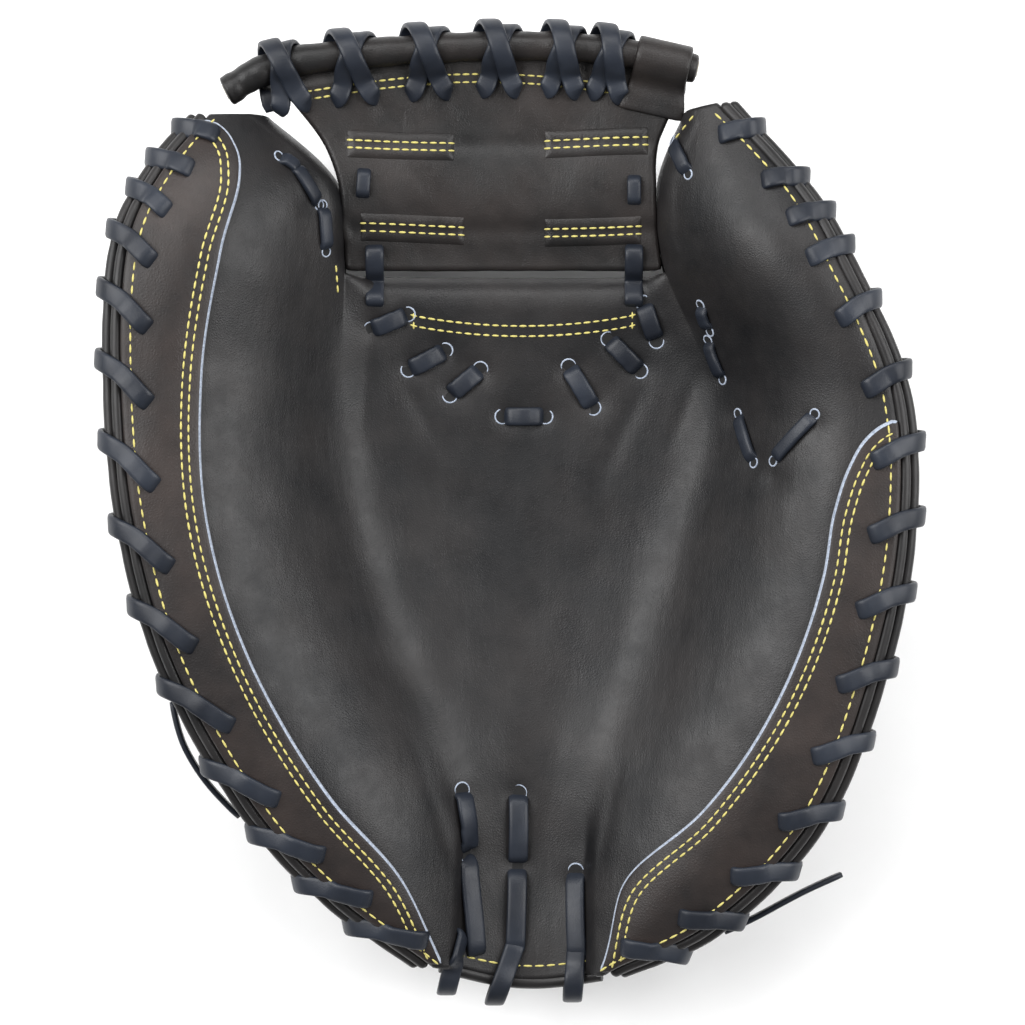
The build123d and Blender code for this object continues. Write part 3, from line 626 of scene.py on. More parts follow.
def steel(name):
    material, tree, shader, mm = start_finish(name)
    rub = noise(tree, mm, 1.4, 6, 0.7, ((0, 0, 0), (1, 1, 6)))
    tree.links.new(ramp(tree, rub, [(0.3, (0.42, 0.42, 0.43)), (0.7, (0.62, 0.62, 0.63))]),
                   shader.inputs["Base Color"])
    tree.links.new(scaled(tree, rub, 0.3, 0.7, 0.16, 0.34), shader.inputs["Roughness"])
    bumps(tree, shader, [(noise(tree, mm, 6.0, 3), 0.15, 0.03)])
    shader.inputs["Metallic"].default_value = 1.0
    return material


loop_tape = tape("loop_tape", (0.012, 0.012, 0.013), (0.05, 0.05, 0.052), 1.6)
hook_tape = tape("hook_tape", (0.010, 0.010, 0.011), (0.04, 0.04, 0.042), 1.1)
ring_steel = steel("nickel_plated_steel")
print("finishes:", [m.name for m in bpy.data.materials])

# %% The free lace ends, in lace leather
for name, body in (("thumb_tail", "thumb_side"), ("finger_tail", "finger_side")):
    line = tail_lines[name] * 1000 - SHIFT
    ahead = along(line)
    flat = unit(np.cross(ahead, (0, 0, 1)))
    points, faces = strip(line, flat, LACE_WIDTH, LACE_THICK, crown=0.1, taper=0.9)
    piece = worn(object_from(name + "_lace", points, faces, [lace_leather]), body, "lace", name)

# %% [markdown]
# ## The palm leather
# On the real mitt one hide covers both padded sides and the pocket between them. It is drawn down
# by laces, so it turns softly into each crease, and it rolls over at the pocket's upper lip and at
# the sides of the web. The imported model folds along two lines, so the hide is made in two halves
# that share the line down the middle of the palm, one for each side. The two halves get the same
# normals on that shared line, which keeps the join invisible.

# %% Soft dips where laces pull the hide
LACE_ENDS = [(-42, 56.5), (-33.5, 60), (-30.5, 44.5), (-22, 49), (-18, 37), (-11, 43), (-1.5, 29.5),
             (8.5, 29.5), (18, 43.5), (24, 33.5), (30.5, 52), (38, 44.5), (40.5, 62.5), (43.5, 54),
             (58, 58), (60.5, 50), (64, 42), (69, 29), (72.5, 17), (79, 10), (90, 26),
             (-69, 106), (-60, 92), (-15.5, -87), (-14, -104), (1.5, -87), (1.5, -108), (19, -112)]
PULLED = np.array(LACE_ENDS, float)
PULLED_BY = np.array([1.1] * 14 + [0.9] * 9 + [0.8] * 5)


def relief(x, y):
    """Height that use has added to, or taken from, the stretched hide."""
    near = (PULLED[:, 0] - x) ** 2 + (PULLED[:, 1] - y) ** 2
    dip = -(PULLED_BY * np.exp(-near / (2 * 2.6**2))).sum()
    dip -= 0.35 * (PULLED_BY * np.exp(-near / (2 * 8.0**2))).sum()
    wave = (0.45 * math.sin(0.052 * x + 0.031 * y + 0.6) * math.sin(0.044 * y - 0.021 * x)
            + 0.22 * math.sin(0.13 * x - 0.05 * y) * math.sin(0.09 * y + 0.04 * x + 1.0)
            + 0.10 * math.sin(0.31 * x + 0.11 * y) * math.sin(0.19 * y - 0.12 * x + 2.0))
    folds = 0.0
    for x0, y0, x1, y1, deep, wide in ((-30, -70, -13, -122, 0.4, 2.0),
                                       (-22, -74, -9, -118, 0.3, 1.8),
                                       (48, 20, 62, 52, 0.6, 2.2), (33, -74, 25, -114, 0.35, 2.0),
                                       (-43, 62, -47, 20, 0.6, 2.2), (26, 8, 44, 46, 0.5, 2.4),
                                       (-20, 18, -36, 44, 0.45, 2.4)):
        run = np.array([x1 - x0, y1 - y0], float)
        t = float(np.clip(((x - x0) * run[0] + (y - y0) * run[1]) / run.dot(run), 0, 1))
        off = math.hypot(x - x0 - run[0] * t, y - y0 - run[1] * t)
        folds -= deep * math.sin(math.pi * (0.08 + 0.84 * t)) * math.exp(-(off / wide) ** 2)
    return dip + wave + folds


# %% The hide as one wide grid
ROWS = np.concatenate([np.linspace(0, LIP, 150), np.linspace(LIP, 1, 56)[1:]])
LIP_ROW = 149
SIDE_COLUMNS, PALM_COLUMNS = 54, 61        # each side, and right across the palm
EDGE_EASE = np.linspace(0, 1, SIDE_COLUMNS) ** 1.25
ROLL = 6.0                                 # radius of a rolled edge


def rolled(distance, radius):
    """Sideways and downward place on a quarter-round edge, from the distance to that edge."""
    if distance >= radius:
        return distance, 0.0
    turn = (1 - distance / radius) * math.pi / 2
    return radius - radius * math.sin(turn), radius * (1 - math.cos(turn))


def hide_row(s):
    """Points right across the hide: one side, the palm, the other side."""
    left = [front(THUMB, s, v) for v in EDGE_EASE * (1 - rim_edge(THUMB, s) / span(THUMB, s))]
    right = [front(FINGER, s, v) for v in EDGE_EASE * (1 - rim_edge(FINGER, s) / span(FINGER, s))]
    middle = [palm(min(s, LIP), w) for w in np.linspace(0, 1, PALM_COLUMNS)]
    return np.array(left[::-1] + middle + right)


hide = np.array([hide_row(s) for s in ROWS])
first, last = SIDE_COLUMNS, SIDE_COLUMNS + PALM_COLUMNS     # columns of the palm itself
for i, s in enumerate(ROWS):
    row = hide[i]
    if i <= LIP_ROW:
        run = np.r_[0, np.cumsum(np.linalg.norm(np.diff(row[:, :2], axis=0), axis=1))]
        soft = 0.9 + 4.6 * float(smooth((s - 0.16) / 0.14))
        pull = np.exp(-((run[:, None] - run[None]) ** 2) / (2 * soft**2))
        pull *= np.gradient(run)[None]
        ends = np.minimum(run, run[-1] - run) / (2 * soft)
        eased = (pull @ row[:, 2]) / pull.sum(1)
        mix = smooth(ends) * (1 - float(smooth((s - LIP + 0.09) / 0.09)))
        row[:, 2] = row[:, 2] * (1 - mix) + eased * mix
    else:
        free = float(smooth((s - LIP) / 0.03))
        for side, inner in ((slice(first - 1, None, -1), first - 1), (slice(last, None), last)):
            line = row[side].copy()
            away = line[0, :2] - line[-1, :2]
            away = away / max(np.linalg.norm(away), 1e-6)
            reach = np.linalg.norm(line[:, :2] - line[0, :2], axis=1)
            radius = min(ROLL, 0.4 * reach[-1]) * free
            for k, d in enumerate(reach):
                if radius > 0.2 and d < radius:
                    at, down = rolled(d, radius)
                    line[k, :2] += away * (d - at)
                    line[k, 2] -= down
            row[side] = line
    for point in row:
        point[2] += relief(point[0], point[1]) * float(smooth((s - 0.005) / 0.04))

# The palm's upper lip rolls forward and down, less so beside the two sides.
lip_y = hide[LIP_ROW, first:last, 1].copy()
for j in range(first, last):
    share = (j - first) / (last - first - 1)
    away = min(share, 1 - share) * 95
    radius = 9.0 * float(smooth(away / 10))
    for i in range(LIP_ROW - 16, LIP_ROW + 1):
        d = lip_y[j - first] - hide[i, j, 1]
        if radius > 0.3 and d < radius:
            at, down = rolled(d, radius)
            hide[i, j, 1] += d - at
            hide[i, j, 2] -= down
print("hide grid", hide.shape)

# %% Two halves that meet in the middle of the palm
MIDDLE = first + PALM_COLUMNS // 2
normals = unit(np.cross(np.gradient(hide, axis=1), np.gradient(hide, axis=0)))


def half_hide(name, columns, flip, nodes):
    grid = hide[:, columns]
    n, m, _ = grid.shape
    is_palm = np.array([first <= c < last for c in range(hide.shape[1])])[columns]

    def keep(i, j):
        return i < LIP_ROW or not (is_palm[j] or is_palm[j + 1])

    faces = grid_faces(n, m, keep)
    if flip:
        faces = [f[::-1] for f in faces]
    points, made, _, used = thickened(grid.reshape(-1, 3), faces, LEATHER, 0.9)
    piece = object_from(name, points, made, [palm_leather])
    shared = {int(i * m + (m - 1 if is_palm[-1] else 0)) for i in range(LIP_ROW + 1)}
    fixed = np.zeros((len(points), 3))
    flat = normals[:, columns].reshape(-1, 3)
    for k, index in enumerate(used):
        if int(index) in shared:
            fixed[k] = flat[index]
    piece.data.normals_split_custom_set_from_vertices([tuple(v) for v in fixed])
    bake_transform(piece)
    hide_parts(*nodes)
    print(name, len(piece.data.polygons), "faces")
    return piece


columns = np.arange(hide.shape[1])
thumb_hide = half_hide("thumb_half_hide", columns[:MIDDLE + 1], True,
                       ("thumb_leather", "palm_leather"))
finger_hide = half_hide("finger_half_hide", columns[MIDDLE:], True,
                        ("finger_leather", "palm_leather"))

# %% [markdown]
# ## The outer panels
# A second layer of leather is sewn round the outside of each side, where the ball and the ground
# wear it. Its edge is left raw, so the pale, bluish middle of the hide shows as a thin line, and
# two rows of thread run beside it. The panel is a grid whose inner edge follows the seam.

# %% Outer panels
SEAMS = {
    "thumb": (THUMB, [(0.012, 0.40), (0.124, 0.42), (0.247, 0.60), (0.371, 0.637), (0.495, 0.645),
                      (0.619, 0.607), (0.742, 0.545), (0.866, 0.53), (0.92, 0.545), (0.95, 0.60),
                      (0.968, 0.69), (0.977, 0.80)]),
    "finger": (FINGER, [(0.012, 0.38), (0.12, 0.25), (0.24, 0.49), (0.36, 0.62), (0.46, 0.655),
                        (0.517, 0.655),
                        (0.555, 0.70), (0.578, 0.765), (0.592, 0.85), (0.5975, 0.91)]),
}
PANEL = 2.0


def seam_line(side, count=240):
    rows, stops = SEAMS[side]
    plan = [front(rows, s, v) for s, v in stops]
    fine = refine(np.array(plan)[:, :2], count)
    shares = refine(np.array(stops) * (300, 60), count) / (300, 60)
    return rows, shares, fine


def panel_grid(side):
    """Outer face of a panel, from its seam to the rim."""
    rows, shares, _ = seam_line(side, 200)
    grid = []
    for s, v in shares:
        s = float(np.clip(s, 0.0, 1.0))
        stop = 1 - rim_edge(rows, s) / span(rows, s)
        line = [front(rows, s, v + (stop - v) * w) for w in np.linspace(0, 1, 26)]
        grid.append([p + (0, 0, PANEL + relief(p[0], p[1]) * float(smooth((s - 0.005) / 0.04)))
                     for p in line])
    return np.array(grid)


panel_grids = {side: panel_grid(side) for side in SEAMS}
for side, grid in panel_grids.items():
    if side == "finger":
        grid = grid[:, ::-1]
    raw = np.zeros(grid.shape[:2], bool)
    raw[:, 0 if side == "thumb" else -1] = True
    raw[-1, :] = True
    piece = sheet_object(side + "_outer_panel", grid, PANEL, [rim_leather, raw_edge], raw=raw,
                         soft=0.95)
    worn(piece, side + "_side", "shell_leather", side + "_overlay")

# %% [markdown]
# ## Finding the leather under a stitch
# A stitch or a lace is planned from above, like chalk marks on the hide, and then needs the height
# and slope of whatever lies there. A ray dropped on the finished leather gives both.

# %% Drop a point on the leather
def tree_of(*objects):
    points, faces, start = [], [], 0
    for piece in objects:
        mesh = piece.data
        points += [v.co * 1000 - Vector(SHIFT) for v in mesh.vertices]
        faces += [[i + start for i in p.vertices] for p in mesh.polygons]
        start = len(points)
    return BVHTree.FromPolygons(points, faces)


skins = [thumb_hide, finger_hide, bpy.data.objects["thumb_outer_panel"],
         bpy.data.objects["finger_outer_panel"]]
skin = tree_of(*skins)


def lay(x, y, over=None, start=140.0):
    """Place and slope of the leather under a point in plan."""
    spot, slope, _, _ = (over or skin).ray_cast(Vector((x, y, start)), Vector((0, 0, -1)))
    if spot is None:
        return None, None
    slope = np.array(slope) * (1 if slope.z >= 0 else -1)
    return np.array(spot), slope


def laid_line(plan, over=None, lift=0.0):
    """Plan points lifted on to the leather, with the ones that miss it left out."""
    places, slopes = [], []
    for x, y in plan:
        spot, slope = lay(x, y, over)
        if spot is not None:
            places.append(spot + slope * lift)
            slopes.append(slope)
    return np.array(places), np.array(slopes)


print("leather under the middle of the pocket:", np.round(lay(0, 0)[0], 1))

# %% [markdown]
# ## Welts
# Two narrow strips of leather, folded over a cord, are sewn into the rim between front and back.
# They stop the seam from wearing through and give the rim its two ridges. Round cords swept along
# the rim lines are enough. They swell slightly between the lace turns that press on them.

# %% Welts along both rims
TURNS = {"thumb": 14, "finger": 15}
wrap_shares = {side: np.linspace(0.07, 0.95, count) for side, count in TURNS.items()}


def welt_line(rows, row, low=0.0, high=1.0):
    """Centre line of a welt: row 0 lies in front, row 1 behind."""
    line = []
    for s in np.linspace(low, high, 260):
        across = 1.12 * WELT + 0.25 - rim_edge(rows, s) + row * 1.55 * WELT
        line.append(beside_rim(rows, s, across, 0.35 * WELT + row * 1.45 * WELT))
    return np.array(line)


for side, rows in (("thumb", THUMB), ("finger", FINGER)):
    for row, part in ((0, "welt_front"), (1, "welt_back")):
        line = welt_line(rows, row)
        shares = np.linspace(0, 1, len(line))
        press = sum(np.exp(-((shares - s) / 0.011) ** 2) for s in wrap_shares[side])
        radius = WELT * (1.02 - 0.10 * press)
        radius[:3] *= (0.35, 0.75, 0.95)
        radius[-3:] *= (0.95, 0.75, 0.35)
        points, faces = cord_form(line, radius, 16)
        worn(object_from(f"{side}_{part}_strip", points, faces, [welt_leather]), side + "_side",
             "welt_leather", f"{side}_{part}")
heel = [palm(0, w) - (0, 1.9, 2.2) for w in np.linspace(-0.12, 1.10, 60)]
points, faces = cord_form(heel, 2.1, 16)
worn(object_from("heel_welt_strip", points, faces, [welt_leather]), "palm", "welt_leather",
     "heel_welt")

# %% [markdown]
# ## The rim lace
# One flat thong, 6 mm wide, binds the rims. Each turn comes up through a punched hole in the
# front, lies slanting across both welts, goes round the outside and into a hole in the back
# leather. The slant comes from the lace stepping forward one hole with each turn. A strip swept
# through those places has its flat side held outwards, so it never twists at the bend.

# %% Turns of the rim lace
SLANT = {"thumb": 10.5, "finger": 6.0}


def rim_turn(rows, s, slant, step=1.0):
    def at(f):
        return float(np.clip(s + slant * (f - 0.5) / 300, 0.0, 1.0))

    places, facing = [], []
    for far, lift, f in ((11.8, -1.8, 0.0), (11.0, 0.5, 0.05), (9.6, 1.25, 0.16), (7.4, 1.2, 0.36),
                         (5.2, 1.1, 0.56)):
        base = beside_rim(rows, at(f), -far * step, 0)
        spot, slope = lay(base[0], base[1])
        if spot is None:
            spot, slope = base, np.array([0, 0, 1.0])
        places.append(spot + slope * lift)
        facing.append(slope)
    top = places[-1][2] - station(rows, at(0.5))[1][2]
    for across, drop, f, turn in ((-3.4, -1.1 - 0.6 * max(top - 1.4, 0), 0.70, 80),
                                  (-0.9, -1.6, 0.84, 68), (1.9, 0.1, 0.97, 42),
                                  (3.7, 3.0, 1.05, 12), (4.0, 6.6, 1.10, -6),
                                  (3.2, 10.4, 1.12, -16), (2.0, 14.0, 1.13, -26)):
        places.append(beside_rim(rows, at(f), across, drop))
        out = outwards(rows, at(f))
        facing.append(out * math.cos(math.radians(turn))
                      + np.array([0, 0, math.sin(math.radians(turn))]))
    for far, clear in ((1.6, 1.15), (4.4, 1.1), (7.2, 1.0), (8.4, -1.4)):
        spot, slope = off_back(rows, at(1.15), far, clear)
        places.append(spot)
        facing.append(slope)
    return strip(*with_facing(places, facing, 44), LACE_WIDTH, LACE_THICK, crown=0.12,
                 taper=0.85)


for side, rows in (("thumb", THUMB), ("finger", FINGER)):
    turns = [rim_turn(rows, s, SLANT[side] * (0.55 if s > 0.85 else 1.0))
             for s in wrap_shares[side]]
    points, faces = joined(turns)
    worn(object_from(side + "_rim_thong", points, faces, [lace_leather]), side + "_side", "lace",
         side + "_rim_lace")

# %% [markdown]
# ## Laces across the palm
# Short runs of thong tie the pocket's lip, the heel and the two tips to the padding underneath.
# Each run rises from one punched hole, lies on the leather and dives into the next.

# %% Laces that lie on the leather
def laid_lace(start, end, width=5.6, over=None, height=1.0, dive=2.2, arch=0.35):
    start, end = np.array(start, float), np.array(end, float)
    run = end - start
    length = np.linalg.norm(run)
    places, facing = [], []
    for t in np.linspace(0, 1, 17):
        spot, slope = lay(*(start + run * t), over=over)
        if spot is None:
            continue
        near = min(t, 1 - t) * length
        lift = -dive + (height + dive) * float(smooth(near / 2.6)) + arch * math.sin(math.pi * t)
        places.append(spot + slope * lift)
        facing.append(slope)
    mean = unit(np.mean(facing, 0))
    facing = np.array(facing) * 0.4 + mean * 0.6
    return strip(*with_facing(places, facing, 26), width, LACE_THICK, crown=0.12, taper=0.8)


POCKET_RUNS = [((-42, 56.5), (-33.5, 60)), ((-30.5, 44.5), (-22, 49)), ((-18, 37), (-11, 43)),
               ((-1.5, 29.5), (8.5, 29.5)), ((18, 43.5), (24, 33.5)), ((30.5, 52), (38, 44.5)),
               ((40.5, 62.5), (43.5, 54))]


def longer(run, by):
    a, b = np.array(run[0], float), np.array(run[1], float)
    step = unit(b - a) * by
    return a - step, b + step


pocket_runs = [longer(run, 1.6) for run in POCKET_RUNS]
points, faces = joined([laid_lace(*run) for run in pocket_runs])
worn(object_from("pocket_thong", points, faces, [lace_leather]), "palm", "lace", "pocket_lace")

INNER = {
    "thumb_inner_lace": ("thumb_side",
                         [((-70.5, 107.5), (-64, 103)), ((-66, 105), (-58.5, 93)),
                          ((-57.5, 93), (-56.5, 79))], 4.2),
    "finger_inner_lace": ("finger_side",
                          [((59.5, 52.5), (64, 40.5)), ((68.5, 30), (73, 15)),
                           ((78.5, 15.5), (90.5, 29.5)),
                                          ((57, 63), (60, 55))], 4.2),
    "finger_tip_lace": ("finger_side", [((48.5, 113), (53, 102))], 4.6),
}
for name, (body, runs, width) in INNER.items():
    points, faces = joined([laid_lace(*run, width=width, height=0.75) for run in runs])
    worn(object_from(name[:-5] + "_thong", points, faces, [lace_leather]), body, "lace", name)

HEEL_RUNS = [((1.8, -86), (1.6, -108)), ((1.4, -109), (0.8, -135)), ((-15.5, -85), (-13.6, -104)),
             ((-14.2, -105), (-11.0, -136)), ((19.5, -110), (20, -137))]


def heel_turn(x, lean):
    """Thong from a hole in the heel, round the heel welt."""
    places, facing = [], []
    for dy, lift in ((10.5, -1.8), (9.6, 0.9), (6.5, 1.1), (3.0, 1.1)):
        w = (x + 17.5) / 41.0
        edge = palm(0, w)
        spot, slope = lay(x + lean * (10 - dy) / 14, edge[1] + dy)
        if spot is None:
            spot, slope = edge + (0, dy, 0), np.array([0, 0, 1.0])
        places.append(spot + slope * lift)
        facing.append(slope)
    for dy, dz, turn in ((-1.2, 2.2, 74), (-4.6, 1.6, 52), (-7.6, -0.8, 18), (-8.6, -4.6, -8),
                         (-7.4, -9.0, -25), (-4.0, -13.0, -45), (0.5, -15.5, -70)):
        places.append(edge + (lean * (10 - dy) / 14, dy, dz))
        facing.append((0, -math.cos(math.radians(turn)), math.sin(math.radians(turn))))
    return strip(*with_facing(places, facing, 34), LACE_WIDTH, LACE_THICK, crown=0.12)


turns = [laid_lace(*run, width=LACE_WIDTH, arch=0.9) for run in HEEL_RUNS]
turns += [heel_turn(x, lean) for x, lean in ((-16.0, -3.5), (1.0, -5.0), (20.0, -1.0))]
points, faces = joined(turns)
worn(object_from("heel_thong", points, faces, [lace_leather]), "palm", "lace", "heel_lace")

# %% [markdown]
# ## The web
# Between the two tips hangs a web of two thick leathers, sewn together, with four reinforcing bars
# and a leather roll along its top. It carries the highest load on the mitt, so its leather is
# heavier and its seams are doubled. It is a grid across the gap, gently swollen in the middle.

# %% Web leather
WEB_LEFT = [(-49.6, 75), (-50.3, 88), (-51.3, 100), (-55.5, 112), (-63, 122), (-68, 128)]
WEB_RIGHT = [(44.0, 75), (42.5, 88), (42.0, 100), (42.5, 111), (46.5, 121), (51.0, 128)]


def web_height(x, y):
    """Height of the web leather."""
    t = (y - 75) / 57
    swell = math.sin(math.pi * min(max(t / 0.78, 0), 1)) ** 2
    return 50 + 6 * t + 3 * swell + 2 * (x / 50) ** 2


def web_place(t, w):
    left, right = np.array([*through(WEB_LEFT, t), 0.0]), np.array([*through(WEB_RIGHT, t), 0.0])
    point = left + (right - left) * w
    point[1] += 7.0 * t * math.sin(math.pi * w)
    x, y = point[:2]
    wave = (0.5 * math.sin(0.09 * x + 0.8) * math.sin(0.11 * (y - 70))
            + 0.25 * math.sin(0.23 * x - 0.1 * y)
            + 0.12 * math.sin(0.5 * x + 0.3 * y) * math.sin(0.27 * y))
    press = sum(-0.55 * math.exp(-((y - row) / 2.6) ** 2)
                for row in (112, 86)) if abs(x) < 50 else 0
    point[2] = web_height(x, y) + wave * 0.8 + press
    return point


ROLL_LINE = [(-87, 127.5), (-70, 136.0), (-35, 140.0), (0, 141.5), (30, 140.0), (56, 134.5)]
ROLL_Z, ROLL_RADIUS = 58.4, 4.6
web = [[web_place(t, w) for w in np.linspace(0, 1, 110)] for t in np.linspace(0, 1, 84)]
for u in np.linspace(0.12, 1, 9):             # the leather runs on under the roll
    web.append([(1 - u) * web[83][k]
                + u * np.array([*through(ROLL_LINE, 0.11 + 0.84 * w), ROLL_Z - 1.5])
                for k, w in enumerate(np.linspace(0, 1, 110))])
web = np.array(web)
panel = sheet_object("web_leather_panel", web[:, ::-1], 3.0, [web_leather], soft=1.0)
worn(panel, "palm", "shell_leather", "web_panel")
web_skin = tree_of(panel)

# %% Reinforcing bars
BARS = {"web_bar_upper": (112, ((-50, -18), (10, 41))),
        "web_bar_lower": (86, ((-46, -15), (10, 39)))}
for name, (y, reaches) in BARS.items():
    forms = []
    for low, high in reaches:
        grid = []
        for dy in np.linspace(-4, 4, 11):
            row = []
            for x in np.linspace(low, high, 44):
                spot, slope = lay(x, y + dy + 0.9 * math.sin((x + y) * 0.05), web_skin)
                edge = min(x - low, high - x, 4 - abs(dy)) / 1.6
                row.append(spot + slope * (0.15 + 0.75 * float(smooth(edge))))
            grid.append(row)
        grid = np.array(grid)[:, ::-1]
        n, m, _ = grid.shape
        p, f, _, _ = thickened(grid.reshape(-1, 3), grid_faces(n, m), 1.3)
        forms.append((p, f))
    points, faces = joined(forms)
    worn(object_from(name + "_strips", points, faces, [web_leather]), "palm", "shell_leather", name)

# %% [markdown]
# ## The roll along the top
# The web's top edge is a leather tube over a cord. The rim lace crosses over it in five X shapes,
# and at the finger end a flared leather strap holds it to the web. Each crossing is two strips,
# one laid over the other.

# %% Roll and cord


def roll_place(share):
    x, y = through(ROLL_LINE, share)
    return np.array([x, y, ROLL_Z])


shares = np.linspace(0, 1, 180)
line = np.array([roll_place(s) for s in shares])
swell = 1 + 0.035 * np.sin(shares * 57) + 0.02 * np.sin(shares * 131 + 1)
swell[:4] *= (0.72, 0.9, 0.97, 0.99)
swell[-4:] *= (0.99, 0.97, 0.9, 0.72)
points, faces = cord_form(line, ROLL_RADIUS * swell, 26)
worn(object_from("web_leather_roll", points, faces, [web_leather]), "palm", "shell_leather",
     "web_roll")
line = np.array([roll_place(s) for s in np.linspace(-0.004, 1.004, 100)])
points, faces = cord_form(line, 2.4, 14)
worn(object_from("web_cord", points, faces, [core_cord]), "palm", "core_cord", "web_roll_core")


# %% Crossed laces round the roll
def roll_turn(share, lean, lift, width=LACE_WIDTH, thick=LACE_THICK, reach=12.5):
    """A strap from the web's face, over the roll and back under the web."""
    def centre(f):
        return roll_place(float(np.clip(share + lean * (f - 0.45) / 145.0, 0.0, 1.0)))

    ahead = unit(roll_place(min(share + .01, 1)) - roll_place(max(share - .01, 0)))
    inward = np.array([ahead[1], -ahead[0], 0.0])
    inward *= -1 if inward[1] > 0 else 1
    places, facing = [], []
    for k, distance in enumerate((reach + 1.0, reach, ROLL_RADIUS + 4.6)):
        at = centre(0.05 + 0.1 * k) + inward * distance
        at[2] = web_height(at[0], at[1]) + (-1.2 if k == 0 else 1.1 + lift)
        places.append(at)
        facing.append((0, 0, 1.0))
    for k, angle in enumerate((140, 112, 84, 56, 28, 0, -30, -60, -88)):
        turn = math.radians(angle)
        radial = -inward * math.cos(turn) + np.array([0, 0, math.sin(turn)])
        places.append(centre(0.32 + 0.068 * k) + radial * (ROLL_RADIUS + thick / 2 + 0.3 + lift))
        facing.append(radial)
    for distance in (ROLL_RADIUS + 3.2, reach):
        at = centre(0.97) + inward * distance
        at[2] = web_height(at[0], at[1]) - 3.0 - 1.2
        places.append(at)
        facing.append((0, 0, -1.0))
    return strip(*with_facing(places, facing, 52), width, thick, crown=0.12)


crossings = [0.20, 0.325, 0.45, 0.575, 0.70, 0.80]
turns = []
for k, share in enumerate(crossings):
    turns.append(roll_turn(share, 13.0, 0.0))
    turns.append(roll_turn(share, -13.0, 1.7))
points, faces = joined(turns)
worn(object_from("web_top_thong", points, faces, [lace_leather]), "palm", "lace", "web_top_lace")

# %% The flared strap at the finger end, and the ties at the web's foot
ahead = unit(roll_place(.93) - roll_place(.86))
inward = np.array([ahead[1], -ahead[0], 0.0])
inward *= -1 if inward[1] > 0 else 1
rows_of = []
for out, flare in ((16.0, 1.22), (12.0, 1.12), (8.6, 1.02)):
    at = roll_place(0.905) + inward * out
    rows_of.append((np.array([at[0], at[1], web_height(at[0], at[1]) + 1.3]),
                    np.array([0, 0, 1.0]), flare))
for angle in (135, 105, 75, 45, 15, -15, -50, -85):
    turn = math.radians(angle)
    radial = -inward * math.cos(turn) + np.array([0, 0, math.sin(turn)])
    rows_of.append((roll_place(0.905) + radial * (ROLL_RADIUS + 1.6), radial, 0.98))
for out in (8.5, 12.5):
    at = roll_place(0.905) + inward * out
    rows_of.append((np.array([at[0], at[1], web_height(at[0], at[1]) - 4.6]),
                    np.array([0, 0, -1.0]), 1.0))
grid = np.array([[p + ahead * (w - 0.5) * 15.5 * flare for w in np.linspace(0, 1, 12)]
                 for p, _, flare in rows_of])
grid = np.array([refine(grid[:, j], 46) for j in range(grid.shape[1])]).transpose(1, 0, 2)
tab = sheet_object("web_tab_strap", grid[:, ::-1], 2.0, [web_leather, raw_edge],
                   raw=np.zeros(grid.shape[:2], bool))
worn(tab, "palm", "shell_leather", "web_tab_finger")

both = tree_of(panel, *skins)
feet = []
for x in (-42, 37):
    lip = palm(LIP, 0.5)[1]
    places = [lay(x, lip - 9, both)[0] - (0, 0, 1.5), lay(x, lip - 7.5, both)[0] + (0, 0, 1.0),
              (x, lip - 1, 47.5), (x, 74, web_height(x, 75) + 0.6),
              (x, 80, web_height(x, 80) + 1.2), (x, 81.5, web_height(x, 81.5) - 1.4)]
    feet.append(strip(refine(np.array(places, float), 26), (0, 0, 1.0), 5.6, 1.8))
points, faces = joined(feet)
worn(object_from("web_foot_thong", points, faces, [lace_leather]), "palm", "lace", "web_foot_lace")
points, faces = joined([laid_lace((-45.6, 95), (-45, 105), 4.2, over=web_skin),
                        laid_lace((37, 93), (37, 103), 4.2, over=web_skin)])
worn(object_from("web_side_thong", points, faces, [lace_leather]), "palm", "lace", "web_side_lace")

# %% [markdown]
# ## The back of the mitt
# Each side's back is a smooth shell that lies on the table. Its upper edge turns up behind the
# welts. The finger side has a hole for the index finger, bound with a thin strip. Behind the
# knuckles a bridge joins the shells, and the pocket's back leather rises from it.

# %% Back shells
INDEX = (70.767, 7.736, 12.0)


def back_row(rows, s):
    wide = span(rows, s)
    low = 0.4 * math.tanh(0.3 * wide / 0.4) / wide
    line = [back(rows, s, low + (1 - 1.0 / wide - low) * w) for w in np.linspace(0, 1, 58)]
    edge = line[-1][2]
    top = station(rows, s)[1][2]
    lip = smooth((wide - 12) / 14)
    for share, across in ((0.25, -0.55), (0.5, -0.2), (0.75, 0.0), (1.0, 0.1)):
        z = edge + (top - 6.6 - edge) * share
        line.append(beside_rim(rows, s, across - (1 - lip) * 0.5, top - z))
    line = np.array(line)
    x, y = line[:, 0], line[:, 1]
    worn_in = (0.5 * np.sin(0.06 * x + 0.05 * y) * np.sin(0.05 * y)
               + 0.2 * np.sin(0.21 * x) * np.sin(0.17 * y + 1))
    line[:, 2] += np.where(line[:, 2] > 6, worn_in * smooth((line[:, 2] - 6) / 10), 0)
    return line


